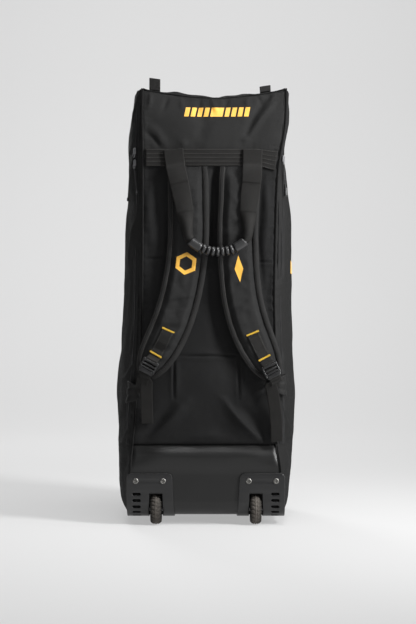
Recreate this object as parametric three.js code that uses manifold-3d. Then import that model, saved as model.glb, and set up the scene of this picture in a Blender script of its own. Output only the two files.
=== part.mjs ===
// A wheeled cricket kit bag, standing up, with its back panel towards -Y.
// Millimetres, +Z up. The origin is on the floor, at the middle of the bag's footprint.
import * as THREE from "three";
import { mergeVertices } from "three/addons/utils/BufferGeometryUtils.js";
import Module from "manifold-3d";

const wasm = await Module();
wasm.setup();

// Body
const BODY_HALF_WIDTH = 197; // middle to the fullest part of each side gusset
const BODY_DEPTH = 335; // back seams to front seams, where they are furthest apart
const BODY_HEIGHT = 897; // underside to the top corners
const FRONT_HALF_WIDTH = 150; // middle to each front seam
const GROUND_GAP = 19; // floor to the underside
const BACK_PLANE = 151.7; // origin to the flat lower back, towards -Y
const WALL = 2.4;
const SEAM_GAP = 0.6;
const BASE_SIDE_GAP = 1.6; // base to the gussets' rounded lower edges
const EDGE_RADIUS = 31; // rounding between the walls and the base
const KICK_HEIGHT = 149; // underside to the kick panel's top seam
const LUMBAR_HEIGHT = 337; // underside to the cross seam of the back padding
const YOKE_HEIGHT = 753; // underside to the seam under the webbing band
const SEAM_DIP = 3; // depth of the padding's cross seam
const TOP_SAG = 15; // dip of the top edge between its corners
const TOP_DOME = 22; // rise of the top panel over its edges
const BASE_FULLNESS = 0.15; // share of the gusset's bulge left at the base
const CLEARANCE = 0.3;
const MITRE_PASSES = 120;

// Grid of the panels
const ACROSS = 10;
const DEEP = 8;
const ROUND_STEPS = 4;
const KICK_ROWS = 3;
const LUMBAR_ROWS = 4;
const BACK_ROWS = 7;
const YOKE_ROWS = 4;

// Trim
const PIPING_RADIUS = 2.2;
const BAND_HEIGHT = 36; // webbing band across the back
const BAND_THICK = 2;
const BAND_END_MARGIN = 6;
const TRIM_LIFT = 0.6; // flat trim over the panel that carries it
const TAB_WIDTH = 23;
const TAB_HEIGHT = 27;
const TAB_THICK = 4;
const TAB_LEFT_X = -106;
const TAB_RIGHT_X = 126;
const TAB_SET_BACK = 9; // top edge to the tab's foot
const TAB_LEFT_LEAN = 8; // degrees from upright
const TAB_RIGHT_LEAN = 58;

// Zips on the gussets
const ZIP_SET_BACK = 28; // back seam to the teeth
const ZIP_TAPE_WIDTH = 24;
const ZIP_TAPE_THICK = 1;
const ZIP_COIL_WIDTH = 7;
const ZIP_COIL_THICK = 1.4;
const SLIDER_WIDTH = 9;
const SLIDER_LENGTH = 17;
const SLIDER_THICK = 4;
const SLIDER_LIFT = 0.8; // teeth to the slider
const PULL_RADIUS = 1.6;
const TOGGLE_RADIUS = 3.4;
const TOGGLE_LENGTH = 20;

// Shoulder straps
const STRAP_WIDTH = 85;
const STRAP_THICK = 13;
const STRAP_DROP = 440; // webbing band to the strap's tip
const STRAP_START = 1.2; // webbing band to the strap's sewn end
const STRAP_LIFT = 1.2; // strap over the back panel, where it is sewn on
const WEB_WIDTH = 25; // adjuster webbing
const WEB_THICK = 1.6;
const PATCH_LENGTH = 62; // webbing sewn on the strap, above the buckle
const LOCK_WIDTH = 35; // ladder-lock buckle
const LOCK_LENGTH = 31;
const LOCK_THICK = 3.4;
const LOCK_BAR = 4.4;
const LOCK_LIP = 7;
const LOCK_LIFT = 4.6; // strap to the buckle's back
const LOCK_CORNER = 4;
const LOCK_SLOT_ROOM = 1; // webbing to each end of its slot
const TAB_ROOT_WIDTH = 46; // anchor tab along the gusset
const TAB_TIP_WIDTH = 27;
const ANCHOR_THICK = 2.4;

// Haul handle
const HANDLE_WIDTH = 40;
const HANDLE_THICK = 2;
const HANDLE_DROP = 217; // top of the band to the middle of the grip
const GRIP_RADIUS = 9.8;
const GRIP_BORE = 7.4;
const GRIP_GROOVES = 8;
const GROOVE_PITCH = 9.8;
const GROOVE_DEPTH = 1.5;
const GROOVE_WIDTH = 4;
const GRIP_LENGTH = 124;
const GRIP_WALL = 0.6; // least wall between the bore and a groove
const GRIP_END = 3; // length of the rounding at each end
const GRIP_END_SHARE = 0.75; // radius at the ends, as a share of the grip's

// Running gear
const WHEEL_RADIUS = 32;
const WHEEL_WIDTH = 23.5;
const WHEEL_X = 105; // middle of the bag to the middle of each wheel
const WHEEL_SET_BACK = 18; // lower back plane to the axle
const WHEEL_ROOM = 3.5; // round the tread
const WHEEL_SIDE_ROOM = 2;
const TYRE_DEPTH = 11;
const TYRE_SHOULDER = 5.6; // fall of the tyre from its middle to its sides
const TREAD_CROWN = 1.4;
const HUB_FACE = 9.5; // radius of the hub's face
const AXLE_RADIUS = 4;
const AXLE_STAND_OUT = 3; // axle past each side of its housing
const BRACKET_INNER_X = 70.5;
const BRACKET_OUTER_X = 166;
const BRACKET_HEIGHT = 90; // underside to the bracket's top edge
const BRACKET_THICK = 3;
const BRACKET_CORNER = 10;
const BRACKET_REACH = 66; // lower back plane to the bracket's end under the base
const HOUSING_WALL = 2.5;
const VENTS = 5;
const VENT_LENGTH = 15;
const VENT_HEIGHT = 3.2;
const VENT_PITCH = 13.3;
const VENT_TOP = 46.5; // underside to the highest vent
const VENT_X = 145.5;
const SCREW_INNER_X = 90;
const SCREW_OUTER_X = 147.5;
const SCREW_HEIGHT = 74; // underside to the screws
const SCREW_HEAD_RADIUS = 6;
const SCREW_HEAD_THICK = 2.4;
const SCREW_RADIUS = 2.2;
const SCREW_POINT = 3; // shank past the panel
const FOOT_LENGTH = 62;
const FOOT_DEPTH = 26;
const FOOT_X = 105;
const FOOT_INSET = 46; // front seams to the foot
const FOOT_CORNER = 8;

// Sections of the body. "up" is a share of BODY_HEIGHT. The seams and the fullest points of the two
// sides are shares of BODY_HALF_WIDTH, and the last four columns are shares of BODY_DEPTH.
const SECTIONS = [
  { up: 0.0, seamL: 0.822, seamR: 0.822, sideL: 0.945, sideR: 0.9,
    back: 0, front: 0.97, crown: 0, belly: 0.01 },
  { up: 0.042, seamL: 0.824, seamR: 0.812, sideL: 0.955, sideR: 0.926,
    back: 0, front: 0.98, crown: 0, belly: 0.015 },
  { up: 0.112, seamL: 0.806, seamR: 0.789, sideL: 0.974, sideR: 0.962,
    back: 0, front: 0.99, crown: 0, belly: 0.02 },
  { up: 0.166, seamL: 0.787, seamR: 0.755, sideL: 0.993, sideR: 0.98,
    back: 0.024, front: 1, crown: 0.004, belly: 0.025 },
  { up: 0.193, seamL: 0.771, seamR: 0.751, sideL: 1.0, sideR: 0.99,
    back: 0.02, front: 1, crown: 0.014, belly: 0.03 },
  { up: 0.268, seamL: 0.744, seamR: 0.744, sideL: 1.0, sideR: 1.0,
    back: 0.006, front: 0.99, crown: 0.034, belly: 0.035 },
  { up: 0.321, seamL: 0.717, seamR: 0.738, sideL: 0.99, sideR: 0.99,
    back: 0.0, front: 0.985, crown: 0.04, belly: 0.04 },
  { up: 0.421, seamL: 0.686, seamR: 0.733, sideL: 0.949, sideR: 0.973,
    back: 0.006, front: 0.97, crown: 0.022, belly: 0.04 },
  { up: 0.506, seamL: 0.68, seamR: 0.726, sideL: 0.926, sideR: 0.957,
    back: 0.01, front: 0.95, crown: 0.014, belly: 0.04 },
  { up: 0.687, seamL: 0.672, seamR: 0.74, sideL: 0.9, sideR: 0.946,
    back: 0.01, front: 0.91, crown: 0.012, belly: 0.035 },
  { up: 0.815, seamL: 0.672, seamR: 0.765, sideL: 0.853, sideR: 0.868,
    back: 0.009, front: 0.87, crown: 0.012, belly: 0.03 },
  { up: 0.857, seamL: 0.672, seamR: 0.796, sideL: 0.847, sideR: 0.84,
    back: 0.01, front: 0.85, crown: 0.015, belly: 0.03 },
  { up: 0.928, seamL: 0.68, seamR: 0.846, sideL: 0.802, sideR: 0.873,
    back: 0.036, front: 0.81, crown: 0.026, belly: 0.025 },
  { up: 1.0, seamL: 0.683, seamR: 0.86, sideL: 0.751, sideR: 0.9,
    back: 0.09, front: 0.74, crown: 0.012, belly: 0.015 },
];

// Main folds and dents. "u" and "v" place the middle on its wall, as shares of the wall's width and height.
// "turn" is degrees from level, "long" and "wide" are shares of BODY_HEIGHT, and "high" is a share of
// BODY_DEPTH, out of the wall.
const FOLDS = [
  { wall: "back", u: 0.12, v: 0.9, turn: -38, long: 0.05, wide: 0.022, high: -0.014 },
  { wall: "back", u: 0.84, v: 0.91, turn: 62, long: 0.06, wide: 0.028, high: -0.016 },
  { wall: "back", u: 0.5, v: 0.96, turn: 90, long: 0.03, wide: 0.05, high: -0.012 },
  { wall: "back", u: 0.78, v: 0.21, turn: -50, long: 0.06, wide: 0.022, high: 0.014 },
  { wall: "back", u: 0.2, v: 0.21, turn: 50, long: 0.06, wide: 0.024, high: 0.01 },
  { wall: "right", u: 0.3, v: 0.72, turn: 70, long: 0.08, wide: 0.03, high: -0.022 },
  { wall: "right", u: 0.5, v: 0.35, turn: -60, long: 0.1, wide: 0.03, high: -0.02 },
  { wall: "right", u: 0.45, v: 0.9, turn: 75, long: 0.07, wide: 0.035, high: -0.03 },
  { wall: "left", u: 0.62, v: 0.78, turn: 65, long: 0.08, wide: 0.03, high: -0.022 },
  { wall: "left", u: 0.5, v: 0.42, turn: -65, long: 0.1, wide: 0.03, high: -0.02 },
  { wall: "left", u: 0.6, v: 0.22, turn: 60, long: 0.08, wide: 0.026, high: -0.018 },
  { wall: "front", u: 0.3, v: 0.8, turn: 30, long: 0.1, wide: 0.035, high: -0.02 },
  { wall: "front", u: 0.68, v: 0.6, turn: -35, long: 0.1, wide: 0.035, high: -0.018 },
  { wall: "front", u: 0.4, v: 0.3, turn: 15, long: 0.12, wide: 0.035, high: -0.018 },
  { wall: "top", u: 0.5, v: 0.4, turn: 90, long: 0.12, wide: 0.022, high: -0.035 },
];

// Middle lines of the shoulder straps. "x" is a share of BODY_HALF_WIDTH and "down" a share of STRAP_DROP,
// below the band. "wide" and "thick" are shares of the strap's own sizes, "lift" of BODY_DEPTH.
const STRAP_LEFT = [
  { x: -0.195, down: 0.0, wide: 0.97, thick: 0.42, lift: 0.0 },
  { x: -0.191, down: 0.057, wide: 1.0, thick: 0.8, lift: 0.001 },
  { x: -0.187, down: 0.159, wide: 1.0, thick: 1.0, lift: 0.004 },
  { x: -0.184, down: 0.302, wide: 1.0, thick: 1.0, lift: 0.01 },
  { x: -0.206, down: 0.455, wide: 1.0, thick: 1.0, lift: 0.022 },
  { x: -0.259, down: 0.597, wide: 1.0, thick: 1.0, lift: 0.034 },
  { x: -0.344, down: 0.732, wide: 1.0, thick: 1.0, lift: 0.042 },
  { x: -0.456, down: 0.85, wide: 0.97, thick: 0.96, lift: 0.044 },
  { x: -0.54, down: 0.92, wide: 0.86, thick: 0.9, lift: 0.042 },
  { x: -0.595, down: 0.968, wide: 0.66, thick: 0.84, lift: 0.04 },
  { x: -0.626, down: 0.998, wide: 0.42, thick: 0.7, lift: 0.039 },
];
const STRAP_RIGHT = [
  { x: 0.364, down: 0.0, wide: 0.97, thick: 0.42, lift: 0.0 },
  { x: 0.358, down: 0.057, wide: 1.0, thick: 0.8, lift: 0.001 },
  { x: 0.351, down: 0.159, wide: 1.0, thick: 1.0, lift: 0.004 },
  { x: 0.336, down: 0.302, wide: 1.0, thick: 1.0, lift: 0.01 },
  { x: 0.343, down: 0.455, wide: 1.0, thick: 1.0, lift: 0.022 },
  { x: 0.37, down: 0.597, wide: 1.0, thick: 1.0, lift: 0.034 },
  { x: 0.43, down: 0.726, wide: 1.0, thick: 1.0, lift: 0.042 },
  { x: 0.515, down: 0.832, wide: 0.97, thick: 0.96, lift: 0.044 },
  { x: 0.608, down: 0.92, wide: 0.86, thick: 0.9, lift: 0.042 },
  { x: 0.668, down: 0.972, wide: 0.66, thick: 0.84, lift: 0.04 },
  { x: 0.703, down: 1.005, wide: 0.42, thick: 0.7, lift: 0.039 },
];

// The haul handle's webbing, from the left end of the band through the grip to the right. "down" is a
// share of HANDLE_DROP below the band's top edge, "wide" and "thick" are shares of the webbing's sizes.
const HANDLE = [
  { x: -0.346, down: 0.006, lift: 0.0105, wide: 1.0, thick: 1.0 },
  { x: -0.334, down: 0.101, lift: 0.0105, wide: 1.0, thick: 1.0 },
  { x: -0.325, down: 0.152, lift: 0.014, wide: 1.0, thick: 1.0 },
  { x: -0.318, down: 0.19, lift: 0.03, wide: 1.0, thick: 1.0 },
  { x: -0.308, down: 0.234, lift: 0.038, wide: 0.97, thick: 1.0 },
  { x: -0.281, down: 0.337, lift: 0.045, wide: 0.96, thick: 1.0 },
  { x: -0.249, down: 0.473, lift: 0.053, wide: 0.93, thick: 1.0 },
  { x: -0.221, down: 0.61, lift: 0.064, wide: 0.84, thick: 1.1 },
  { x: -0.203, down: 0.726, lift: 0.077, wide: 0.6, thick: 1.5 },
  { x: -0.194, down: 0.79, lift: 0.085, wide: 0.4, thick: 1.9 },
  { x: -0.186, down: 0.843, lift: 0.088, wide: 0.31, thick: 2.0 },
  { x: -0.165, down: 0.887, lift: 0.088, wide: 0.31, thick: 2.0 },
  { x: -0.115, down: 0.93, lift: 0.088, wide: 0.31, thick: 2.0 },
  { x: -0.02, down: 0.975, lift: 0.088, wide: 0.31, thick: 2.0 },
  { x: 0.125, down: 1.0, lift: 0.088, wide: 0.31, thick: 2.0 },
  { x: 0.265, down: 0.98, lift: 0.088, wide: 0.31, thick: 2.0 },
  { x: 0.362, down: 0.936, lift: 0.088, wide: 0.31, thick: 2.0 },
  { x: 0.418, down: 0.893, lift: 0.088, wide: 0.31, thick: 2.0 },
  { x: 0.44, down: 0.846, lift: 0.088, wide: 0.31, thick: 2.0 },
  { x: 0.446, down: 0.79, lift: 0.085, wide: 0.4, thick: 1.9 },
  { x: 0.447, down: 0.726, lift: 0.077, wide: 0.6, thick: 1.5 },
  { x: 0.45, down: 0.61, lift: 0.064, wide: 0.84, thick: 1.1 },
  { x: 0.464, down: 0.473, lift: 0.053, wide: 0.95, thick: 1.0 },
  { x: 0.482, down: 0.337, lift: 0.045, wide: 0.98, thick: 1.0 },
  { x: 0.491, down: 0.234, lift: 0.038, wide: 1.0, thick: 1.0 },
  { x: 0.494, down: 0.19, lift: 0.03, wide: 1.0, thick: 1.0 },
  { x: 0.495, down: 0.152, lift: 0.014, wide: 1.0, thick: 1.0 },
  { x: 0.496, down: 0.101, lift: 0.0105, wide: 1.0, thick: 1.0 },
  { x: 0.497, down: 0.006, lift: 0.0105, wide: 1.0, thick: 1.0 },
];

// Buckle, anchor and loose end of each side. "x" is a share of BODY_HALF_WIDTH and "down" a share of
// STRAP_DROP. The tail's "lift" is a share of BODY_DEPTH, and "turn" is degrees from level.
const RIG_LEFT = {
  station: 0.875, // share of the strap's length at the buckle
  anchorDown: 1.082,
  tail: [
    { x: -0.622, down: 1.02, lift: 0.085, turn: -16 },
    { x: -0.626, down: 1.06, lift: 0.066, turn: -4 },
    { x: -0.626, down: 1.12, lift: 0.042, turn: 0 },
    { x: -0.625, down: 1.18, lift: 0.026, turn: 0 },
    { x: -0.624, down: 1.228, lift: 0.018, turn: 0 },
  ],
};
const RIG_RIGHT = {
  station: 0.9,
  anchorDown: 1.045,
  tail: [
    { x: 0.715, down: 1.03, lift: 0.085, turn: 14 },
    { x: 0.728, down: 1.08, lift: 0.066, turn: 8 },
    { x: 0.742, down: 1.15, lift: 0.05, turn: 6 },
    { x: 0.758, down: 1.23, lift: 0.04, turn: 6 },
    { x: 0.77, down: 1.315, lift: 0.036, turn: 6 },
  ],
};

// Routes round the buckle's bars, from its middle. "s" runs down the strap and "h" away from the bag, as
// shares of LOCK_LENGTH and LOCK_THICK.
const PATCH_ROUTE = [
  { s: -0.59, h: -0.35 },
  { s: -0.53, h: 0.45 },
  { s: -0.515, h: 1.0 },
  { s: -0.47, h: 1.17 },
  { s: -0.385, h: 1.17 },
  { s: -0.325, h: 0.95 },
  { s: -0.305, h: 0.5 },
  { s: -0.325, h: 0.03 },
  { s: -0.385, h: -0.16 },
  { s: -0.48, h: -0.16 },
];
const ADJUSTER_ROUTE = [
  { s: 0.92, h: -0.78 },
  { s: 0.45, h: -0.72 },
  { s: 0.0, h: -0.72 },
  { s: -0.15, h: -0.64 },
  { s: -0.205, h: -0.08 },
  { s: -0.215, h: 0.5 },
  { s: -0.2, h: 1.12 },
  { s: -0.14, h: 1.56 },
  { s: -0.03, h: 1.66 },
  { s: 0.2, h: 1.66 },
  { s: 0.46, h: 1.66 },
  { s: 0.62, h: 1.45 },
];

// Zip sliders and their cord pulls. "v" is a share of BODY_HEIGHT, "drift" the cord's share of
// BODY_DEPTH towards the front at its end, and "long" a share of BODY_HEIGHT.
const PULLS = [
  { name: "left_lower", wall: "left", v: 0.828, drift: -0.03, long: 0.06, toggle: false },
  { name: "left_upper", wall: "left", v: 0.855, drift: 0.13, long: 0.1, toggle: false },
  { name: "right", wall: "right", v: 0.838, drift: 0.02, long: 0.055, toggle: true },
];

// Small helpers
const V = (x = 0, y = 0, z = 0) => new THREE.Vector3(x, y, z);
const lerp = THREE.MathUtils.lerp;
const radians = THREE.MathUtils.degToRad;
const fullness = (share) => Math.pow(Math.max(Math.sin(Math.PI * share), 0), 0.75);

// Value of a column at a place in a table, on a smooth curve that never overshoots its rows.
function along(table, key, column, place) {
  const last = table.length - 1;
  const rise = (k) => (table[k + 1][column] - table[k][column]) / (table[k + 1][key] - table[k][key]);
  const slope = (k) => {
    if (k === 0) return rise(0);
    if (k === last) return rise(last - 1);
    const before = rise(k - 1);
    const after = rise(k);
    return before * after <= 0 ? 0 : (2 * before * after) / (before + after);
  };
  let i = 0;
  while (i < last - 1 && table[i + 1][key] < place) i++;
  const span = table[i + 1][key] - table[i][key];
  const t = THREE.MathUtils.clamp((place - table[i][key]) / span, 0, 1);
  const start = table[i][column] * (1 + 2 * t) * (1 - t) ** 2 + slope(i) * span * t * (1 - t) ** 2;
  const end = table[i + 1][column] * t * t * (3 - 2 * t) + slope(i + 1) * span * t * t * (t - 1);
  return start + end;
}

// Closed geometry from points and triangles, with its faces turned outwards.
function closedGeometry(points, faces) {
  let volume = 0;
  for (const [i, j, k] of faces) {
    volume += points[i].dot(V().crossVectors(points[j], points[k]));
  }
  const turned = volume < 0 ? faces.map(([i, j, k]) => [i, k, j]) : faces;
  const geometry = new THREE.BufferGeometry();
  const numbers = points.flatMap((p) => p.toArray());
  geometry.setAttribute("position", new THREE.Float32BufferAttribute(numbers, 3));
  geometry.setIndex(turned.flat());
  return geometry;
}

// Joins and cuts
function toSolid(geometry) {
  const bare = geometry.clone();
  bare.deleteAttribute("normal");
  bare.deleteAttribute("uv");
  const merged = mergeVertices(bare, 1e-4);
  return new wasm.Manifold(
    new wasm.Mesh({
      numProp: 3,
      vertProperties: new Float32Array(merged.attributes.position.array),
      triVerts: new Uint32Array(merged.index.array),
    }),
  );
}

function fromSolid(solid) {
  const mesh = solid.getMesh();
  const geometry = new THREE.BufferGeometry();
  geometry.setAttribute("position", new THREE.Float32BufferAttribute(mesh.vertProperties, 3));
  geometry.setIndex(Array.from(mesh.triVerts));
  return geometry;
}

// Prism along X of an outline in (y, z), and along -Y of an outline in (x, z).
function prismAlongX(outline, fromX, toX) {
  const depth = toX - fromX;
  const geometry = new THREE.ExtrudeGeometry(outline, { depth, bevelEnabled: false, curveSegments: 8 });
  const turn = new THREE.Matrix4().makeBasis(V(0, 1, 0), V(0, 0, 1), V(1, 0, 0));
  return geometry.applyMatrix4(turn).translate(fromX, 0, 0);
}

function prismAlongY(outline, fromY, toY) {
  const depth = toY - fromY;
  const geometry = new THREE.ExtrudeGeometry(outline, { depth, bevelEnabled: false, curveSegments: 6 });
  const turn = new THREE.Matrix4().makeBasis(V(1, 0, 0), V(0, 0, 1), V(0, -1, 0));
  return geometry.applyMatrix4(turn).translate(0, toY, 0);
}

function box(fromX, toX, fromY, toY, fromZ, toZ) {
  const geometry = new THREE.BoxGeometry(toX - fromX, toY - fromY, toZ - fromZ);
  return geometry.translate((fromX + toX) / 2, (fromY + toY) / 2, (fromZ + toZ) / 2);
}

function cylinderAlongX(radius, fromX, toX, y, z, sides) {
  const geometry = new THREE.CylinderGeometry(radius, radius, toX - fromX, sides);
  return geometry.rotateZ(Math.PI / 2).translate((fromX + toX) / 2, y, z);
}

// Body: rows from the underside up. "tuck" is the turn into the base, from 90 degrees to none.
const bodyRows = [];
for (let k = 0; k <= ROUND_STEPS; k++) {
  const tuck = (1 - k / ROUND_STEPS) * (Math.PI / 2);
  bodyRows.push({ up: EDGE_RADIUS * (1 - Math.sin(tuck)), tuck });
}
function addRows(from, to, count) {
  for (let k = 1; k <= count; k++) bodyRows.push({ up: lerp(from, to, k / count), tuck: 0 });
}
addRows(EDGE_RADIUS, KICK_HEIGHT, KICK_ROWS);
addRows(KICK_HEIGHT, LUMBAR_HEIGHT, LUMBAR_ROWS);
addRows(LUMBAR_HEIGHT, YOKE_HEIGHT, BACK_ROWS);
addRows(YOKE_HEIGHT, BODY_HEIGHT, YOKE_ROWS);
const KICK_ROW = ROUND_STEPS + KICK_ROWS;
const LUMBAR_ROW = KICK_ROW + LUMBAR_ROWS;
const YOKE_ROW = LUMBAR_ROW + BACK_ROWS;
const TOP_ROW = YOKE_ROW + YOKE_ROWS;

function section(up) {
  const at = (column) => along(SECTIONS, "up", column, up / BODY_HEIGHT);
  return {
    seamLeft: -at("seamL") * BODY_HALF_WIDTH,
    seamRight: at("seamR") * BODY_HALF_WIDTH,
    sideLeft: -at("sideL") * BODY_HALF_WIDTH,
    sideRight: at("sideR") * BODY_HALF_WIDTH,
    back: at("back") * BODY_DEPTH - BACK_PLANE,
    front: at("front") * BODY_DEPTH - BACK_PLANE,
    crown: at("crown") * BODY_DEPTH,
    belly: at("belly") * BODY_DEPTH,
  };
}

// Height of the folds at a place on a wall, fading to nothing at the seams.
function foldHeight(wall, u, v) {
  const width = { back: 2 * FRONT_HALF_WIDTH, front: 2 * FRONT_HALF_WIDTH, top: 2 * FRONT_HALF_WIDTH };
  const height = wall === "top" ? BODY_DEPTH : BODY_HEIGHT;
  let sum = 0;
  for (const fold of FOLDS.filter((f) => f.wall === wall)) {
    const a = (u - fold.u) * (width[wall] ?? BODY_DEPTH);
    const b = (v - fold.v) * height;
    const turn = radians(fold.turn);
    const p = (a * Math.cos(turn) + b * Math.sin(turn)) / (fold.long * BODY_HEIGHT);
    const q = (b * Math.cos(turn) - a * Math.sin(turn)) / (fold.wide * BODY_HEIGHT);
    sum += fold.high * BODY_DEPTH * Math.exp(-p * p - q * q);
  }
  return sum * fullness(u) * (wall === "top" ? fullness(v) : 1);
}

// Point of a wall. "u" runs to the right as the wall is seen from outside.
function wallPoint(wall, u, row) {
  const s = section(row.up);
  const bulge = fullness(u);
  const tuckIn = EDGE_RADIUS * (1 - Math.cos(row.tuck));
  const back = s.back + tuckIn;
  const front = s.front - tuckIn;
  const out = foldHeight(wall, u, row.up / BODY_HEIGHT) * Math.cos(row.tuck);
  const overYoke = Math.max(row.up - YOKE_HEIGHT, 0) / (BODY_HEIGHT - YOKE_HEIGHT);
  const sag = TOP_SAG * bulge * overYoke ** 2;
  const z = GROUND_GAP + row.up;
  if (wall === "back") {
    const dip = bodyRows.indexOf(row) === LUMBAR_ROW ? SEAM_DIP * bulge : 0;
    return V(lerp(s.seamLeft, s.seamRight, u), back - s.crown * Math.sin(Math.PI * u) - out + dip, z - sag);
  }
  if (wall === "front") {
    return V(lerp(FRONT_HALF_WIDTH, -FRONT_HALF_WIDTH, u), front + s.belly * bulge + out, z - sag);
  }
  const full = bulge * lerp(BASE_FULLNESS, 1, Math.cos(row.tuck));
  if (wall === "right") {
    const flat = lerp(s.seamRight, FRONT_HALF_WIDTH, u);
    return V(lerp(flat, s.sideRight, full) + out, lerp(back, front, u), z);
  }
  const flat = lerp(-FRONT_HALF_WIDTH, s.seamLeft, u);
  return V(lerp(flat, s.sideLeft, full) - out, lerp(front, back, u), z);
}

// Patch between four edges that meet at its corners.
function patchBetween(south, north, west, east, rise) {
  return west.map((left, r) =>
    south.map((low, c) => {
      const u = c / (south.length - 1);
      const v = r / (west.length - 1);
      const corners = V()
        .addScaledVector(south[0], (1 - u) * (1 - v))
        .addScaledVector(south.at(-1), u * (1 - v))
        .addScaledVector(north[0], (1 - u) * v)
        .addScaledVector(north.at(-1), u * v);
      const point = low.clone().lerp(north[c], v).add(left.clone().lerp(east[r], u)).sub(corners);
      point.z += rise(u, v);
      return point;
    }),
  );
}

const grids = {};
for (const wall of ["back", "right", "front", "left"]) {
  const steps = wall === "back" || wall === "front" ? ACROSS : DEEP;
  grids[wall] = bodyRows.map((row) =>
    Array.from({ length: steps + 1 }, (_, c) => wallPoint(wall, c / steps, row)),
  );
}
const edge = (wall, row) => grids[wall][row];
const turned = (points) => [...points].reverse();
grids.top = patchBetween(
  edge("back", TOP_ROW),
  turned(edge("front", TOP_ROW)),
  turned(edge("left", TOP_ROW)),
  edge("right", TOP_ROW),
  (u, v) => TOP_DOME * fullness(u) * fullness(v) + foldHeight("top", u, v),
);
grids.base = patchBetween(
  turned(edge("front", 0)),
  edge("back", 0),
  edge("left", 0),
  turned(edge("right", 0)),
  () => 0,
);

// Normals of every wall, gathered where walls meet so that the inner faces mitre.
const normals = {};
const meeting = new Map();
const keyOf = (p) => `${p.x.toFixed(2)},${p.y.toFixed(2)},${p.z.toFixed(2)}`;
for (const [wall, grid] of Object.entries(grids)) {
  const pick = (r, c) => grid[THREE.MathUtils.clamp(r, 0, grid.length - 1)]
    [THREE.MathUtils.clamp(c, 0, grid[0].length - 1)];
  normals[wall] = grid.map((line, r) =>
    line.map((point, c) => {
      const alongU = pick(r, c + 1).clone().sub(pick(r, c - 1));
      const alongV = pick(r + 1, c).clone().sub(pick(r - 1, c));
      const normal = V().crossVectors(alongU, alongV).normalize();
      const key = keyOf(point);
      meeting.set(key, [...(meeting.get(key) ?? []), normal]);
      return normal;
    }),
  );
}

// Step from the outer face to the inner one, WALL deep under every wall that meets here.
function inwardStep(point) {
  const step = V();
  for (let pass = 0; pass < MITRE_PASSES; pass++) {
    for (const normal of meeting.get(keyOf(point))) {
      step.addScaledVector(normal, -(step.dot(normal) + WALL));
    }
  }
  return step;
}

// Closed slab between an outer and an inner grid of points.
function slab(outer, inner) {
  const rows = outer.length;
  const columns = outer[0].length;
  const points = [...outer.flat(), ...inner.flat()];
  const under = rows * columns;
  const id = (r, c) => r * columns + c;
  const faces = [];
  for (let r = 0; r < rows - 1; r++) {
    for (let c = 0; c < columns - 1; c++) {
      const [a, b, d, e] = [id(r, c), id(r, c + 1), id(r + 1, c + 1), id(r + 1, c)];
      faces.push([a, b, d], [a, d, e]);
      faces.push([under + a, under + d, under + b], [under + a, under + e, under + d]);
    }
  }
  const rim = [];
  for (let c = 0; c < columns; c++) rim.push(id(0, c));
  for (let r = 1; r < rows; r++) rim.push(id(r, columns - 1));
  for (let c = columns - 2; c >= 0; c--) rim.push(id(rows - 1, c));
  for (let r = rows - 2; r > 0; r--) rim.push(id(r, 0));
  rim.forEach((p, k) => {
    const q = rim[(k + 1) % rim.length];
    faces.push([q, p, under + p], [q, under + p, under + q]);
  });
  return closedGeometry(points, faces);
}

// Border points drawn in from the seam: by half its gap at the ends, and at the sides as asked.
function drawIn(grid, sideGap) {
  const rows = grid.length - 1;
  const columns = grid[0].length - 1;
  return grid.map((line, r) =>
    line.map((point, c) => {
      const moved = point.clone();
      const pull = (to, gap) => moved.addScaledVector(to.clone().sub(point).normalize(), gap / 2);
      if (r === 0) pull(grid[1][c], SEAM_GAP);
      if (r === rows) pull(grid[rows - 1][c], SEAM_GAP);
      if (c === 0) pull(line[1], sideGap);
      if (c === columns) pull(line[columns - 1], sideGap);
      return moved;
    }),
  );
}

function panel(wall, fromRow = 0, toRow = grids[wall].length - 1) {
  const sideGap = wall === "base" ? BASE_SIDE_GAP : SEAM_GAP;
  const outer = grids[wall].slice(fromRow, toRow + 1);
  const inner = outer.map((line) => line.map((point) => point.clone().add(inwardStep(point))));
  return slab(drawIn(outer, sideGap), drawIn(inner, sideGap));
}

// Point and normal on a wall's facets, at a share of its width and a row that may lie between two.
function facet(wall, u, row) {
  const grid = grids[wall];
  const columns = grid[0].length - 1;
  const c = THREE.MathUtils.clamp(Math.floor(u * columns), 0, columns - 1);
  const r = THREE.MathUtils.clamp(Math.floor(row), 0, grid.length - 2);
  const fu = u * columns - c;
  const fv = row - r;
  const weigh = (field) => {
    const [a, b, d, e] = [field[r][c], field[r][c + 1], field[r + 1][c + 1], field[r + 1][c]];
    const sum = V();
    if (fu >= fv) sum.addScaledVector(a, 1 - fu).addScaledVector(b, fu - fv).addScaledVector(d, fv);
    else sum.addScaledVector(a, 1 - fv).addScaledVector(e, fv - fu).addScaledVector(d, fu);
    return sum;
  };
  return { point: weigh(grid), normal: weigh(normals[wall]).normalize() };
}

function rowAt(up) {
  let r = 0;
  while (r < TOP_ROW - 1 && bodyRows[r + 1].up < up) r++;
  return r + (up - bodyRows[r].up) / (bodyRows[r + 1].up - bodyRows[r].up);
}

function backFoot(x, up) {
  const s = section(up);
  return facet("back", (x - s.seamLeft) / (s.seamRight - s.seamLeft), rowAt(up));
}

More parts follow.
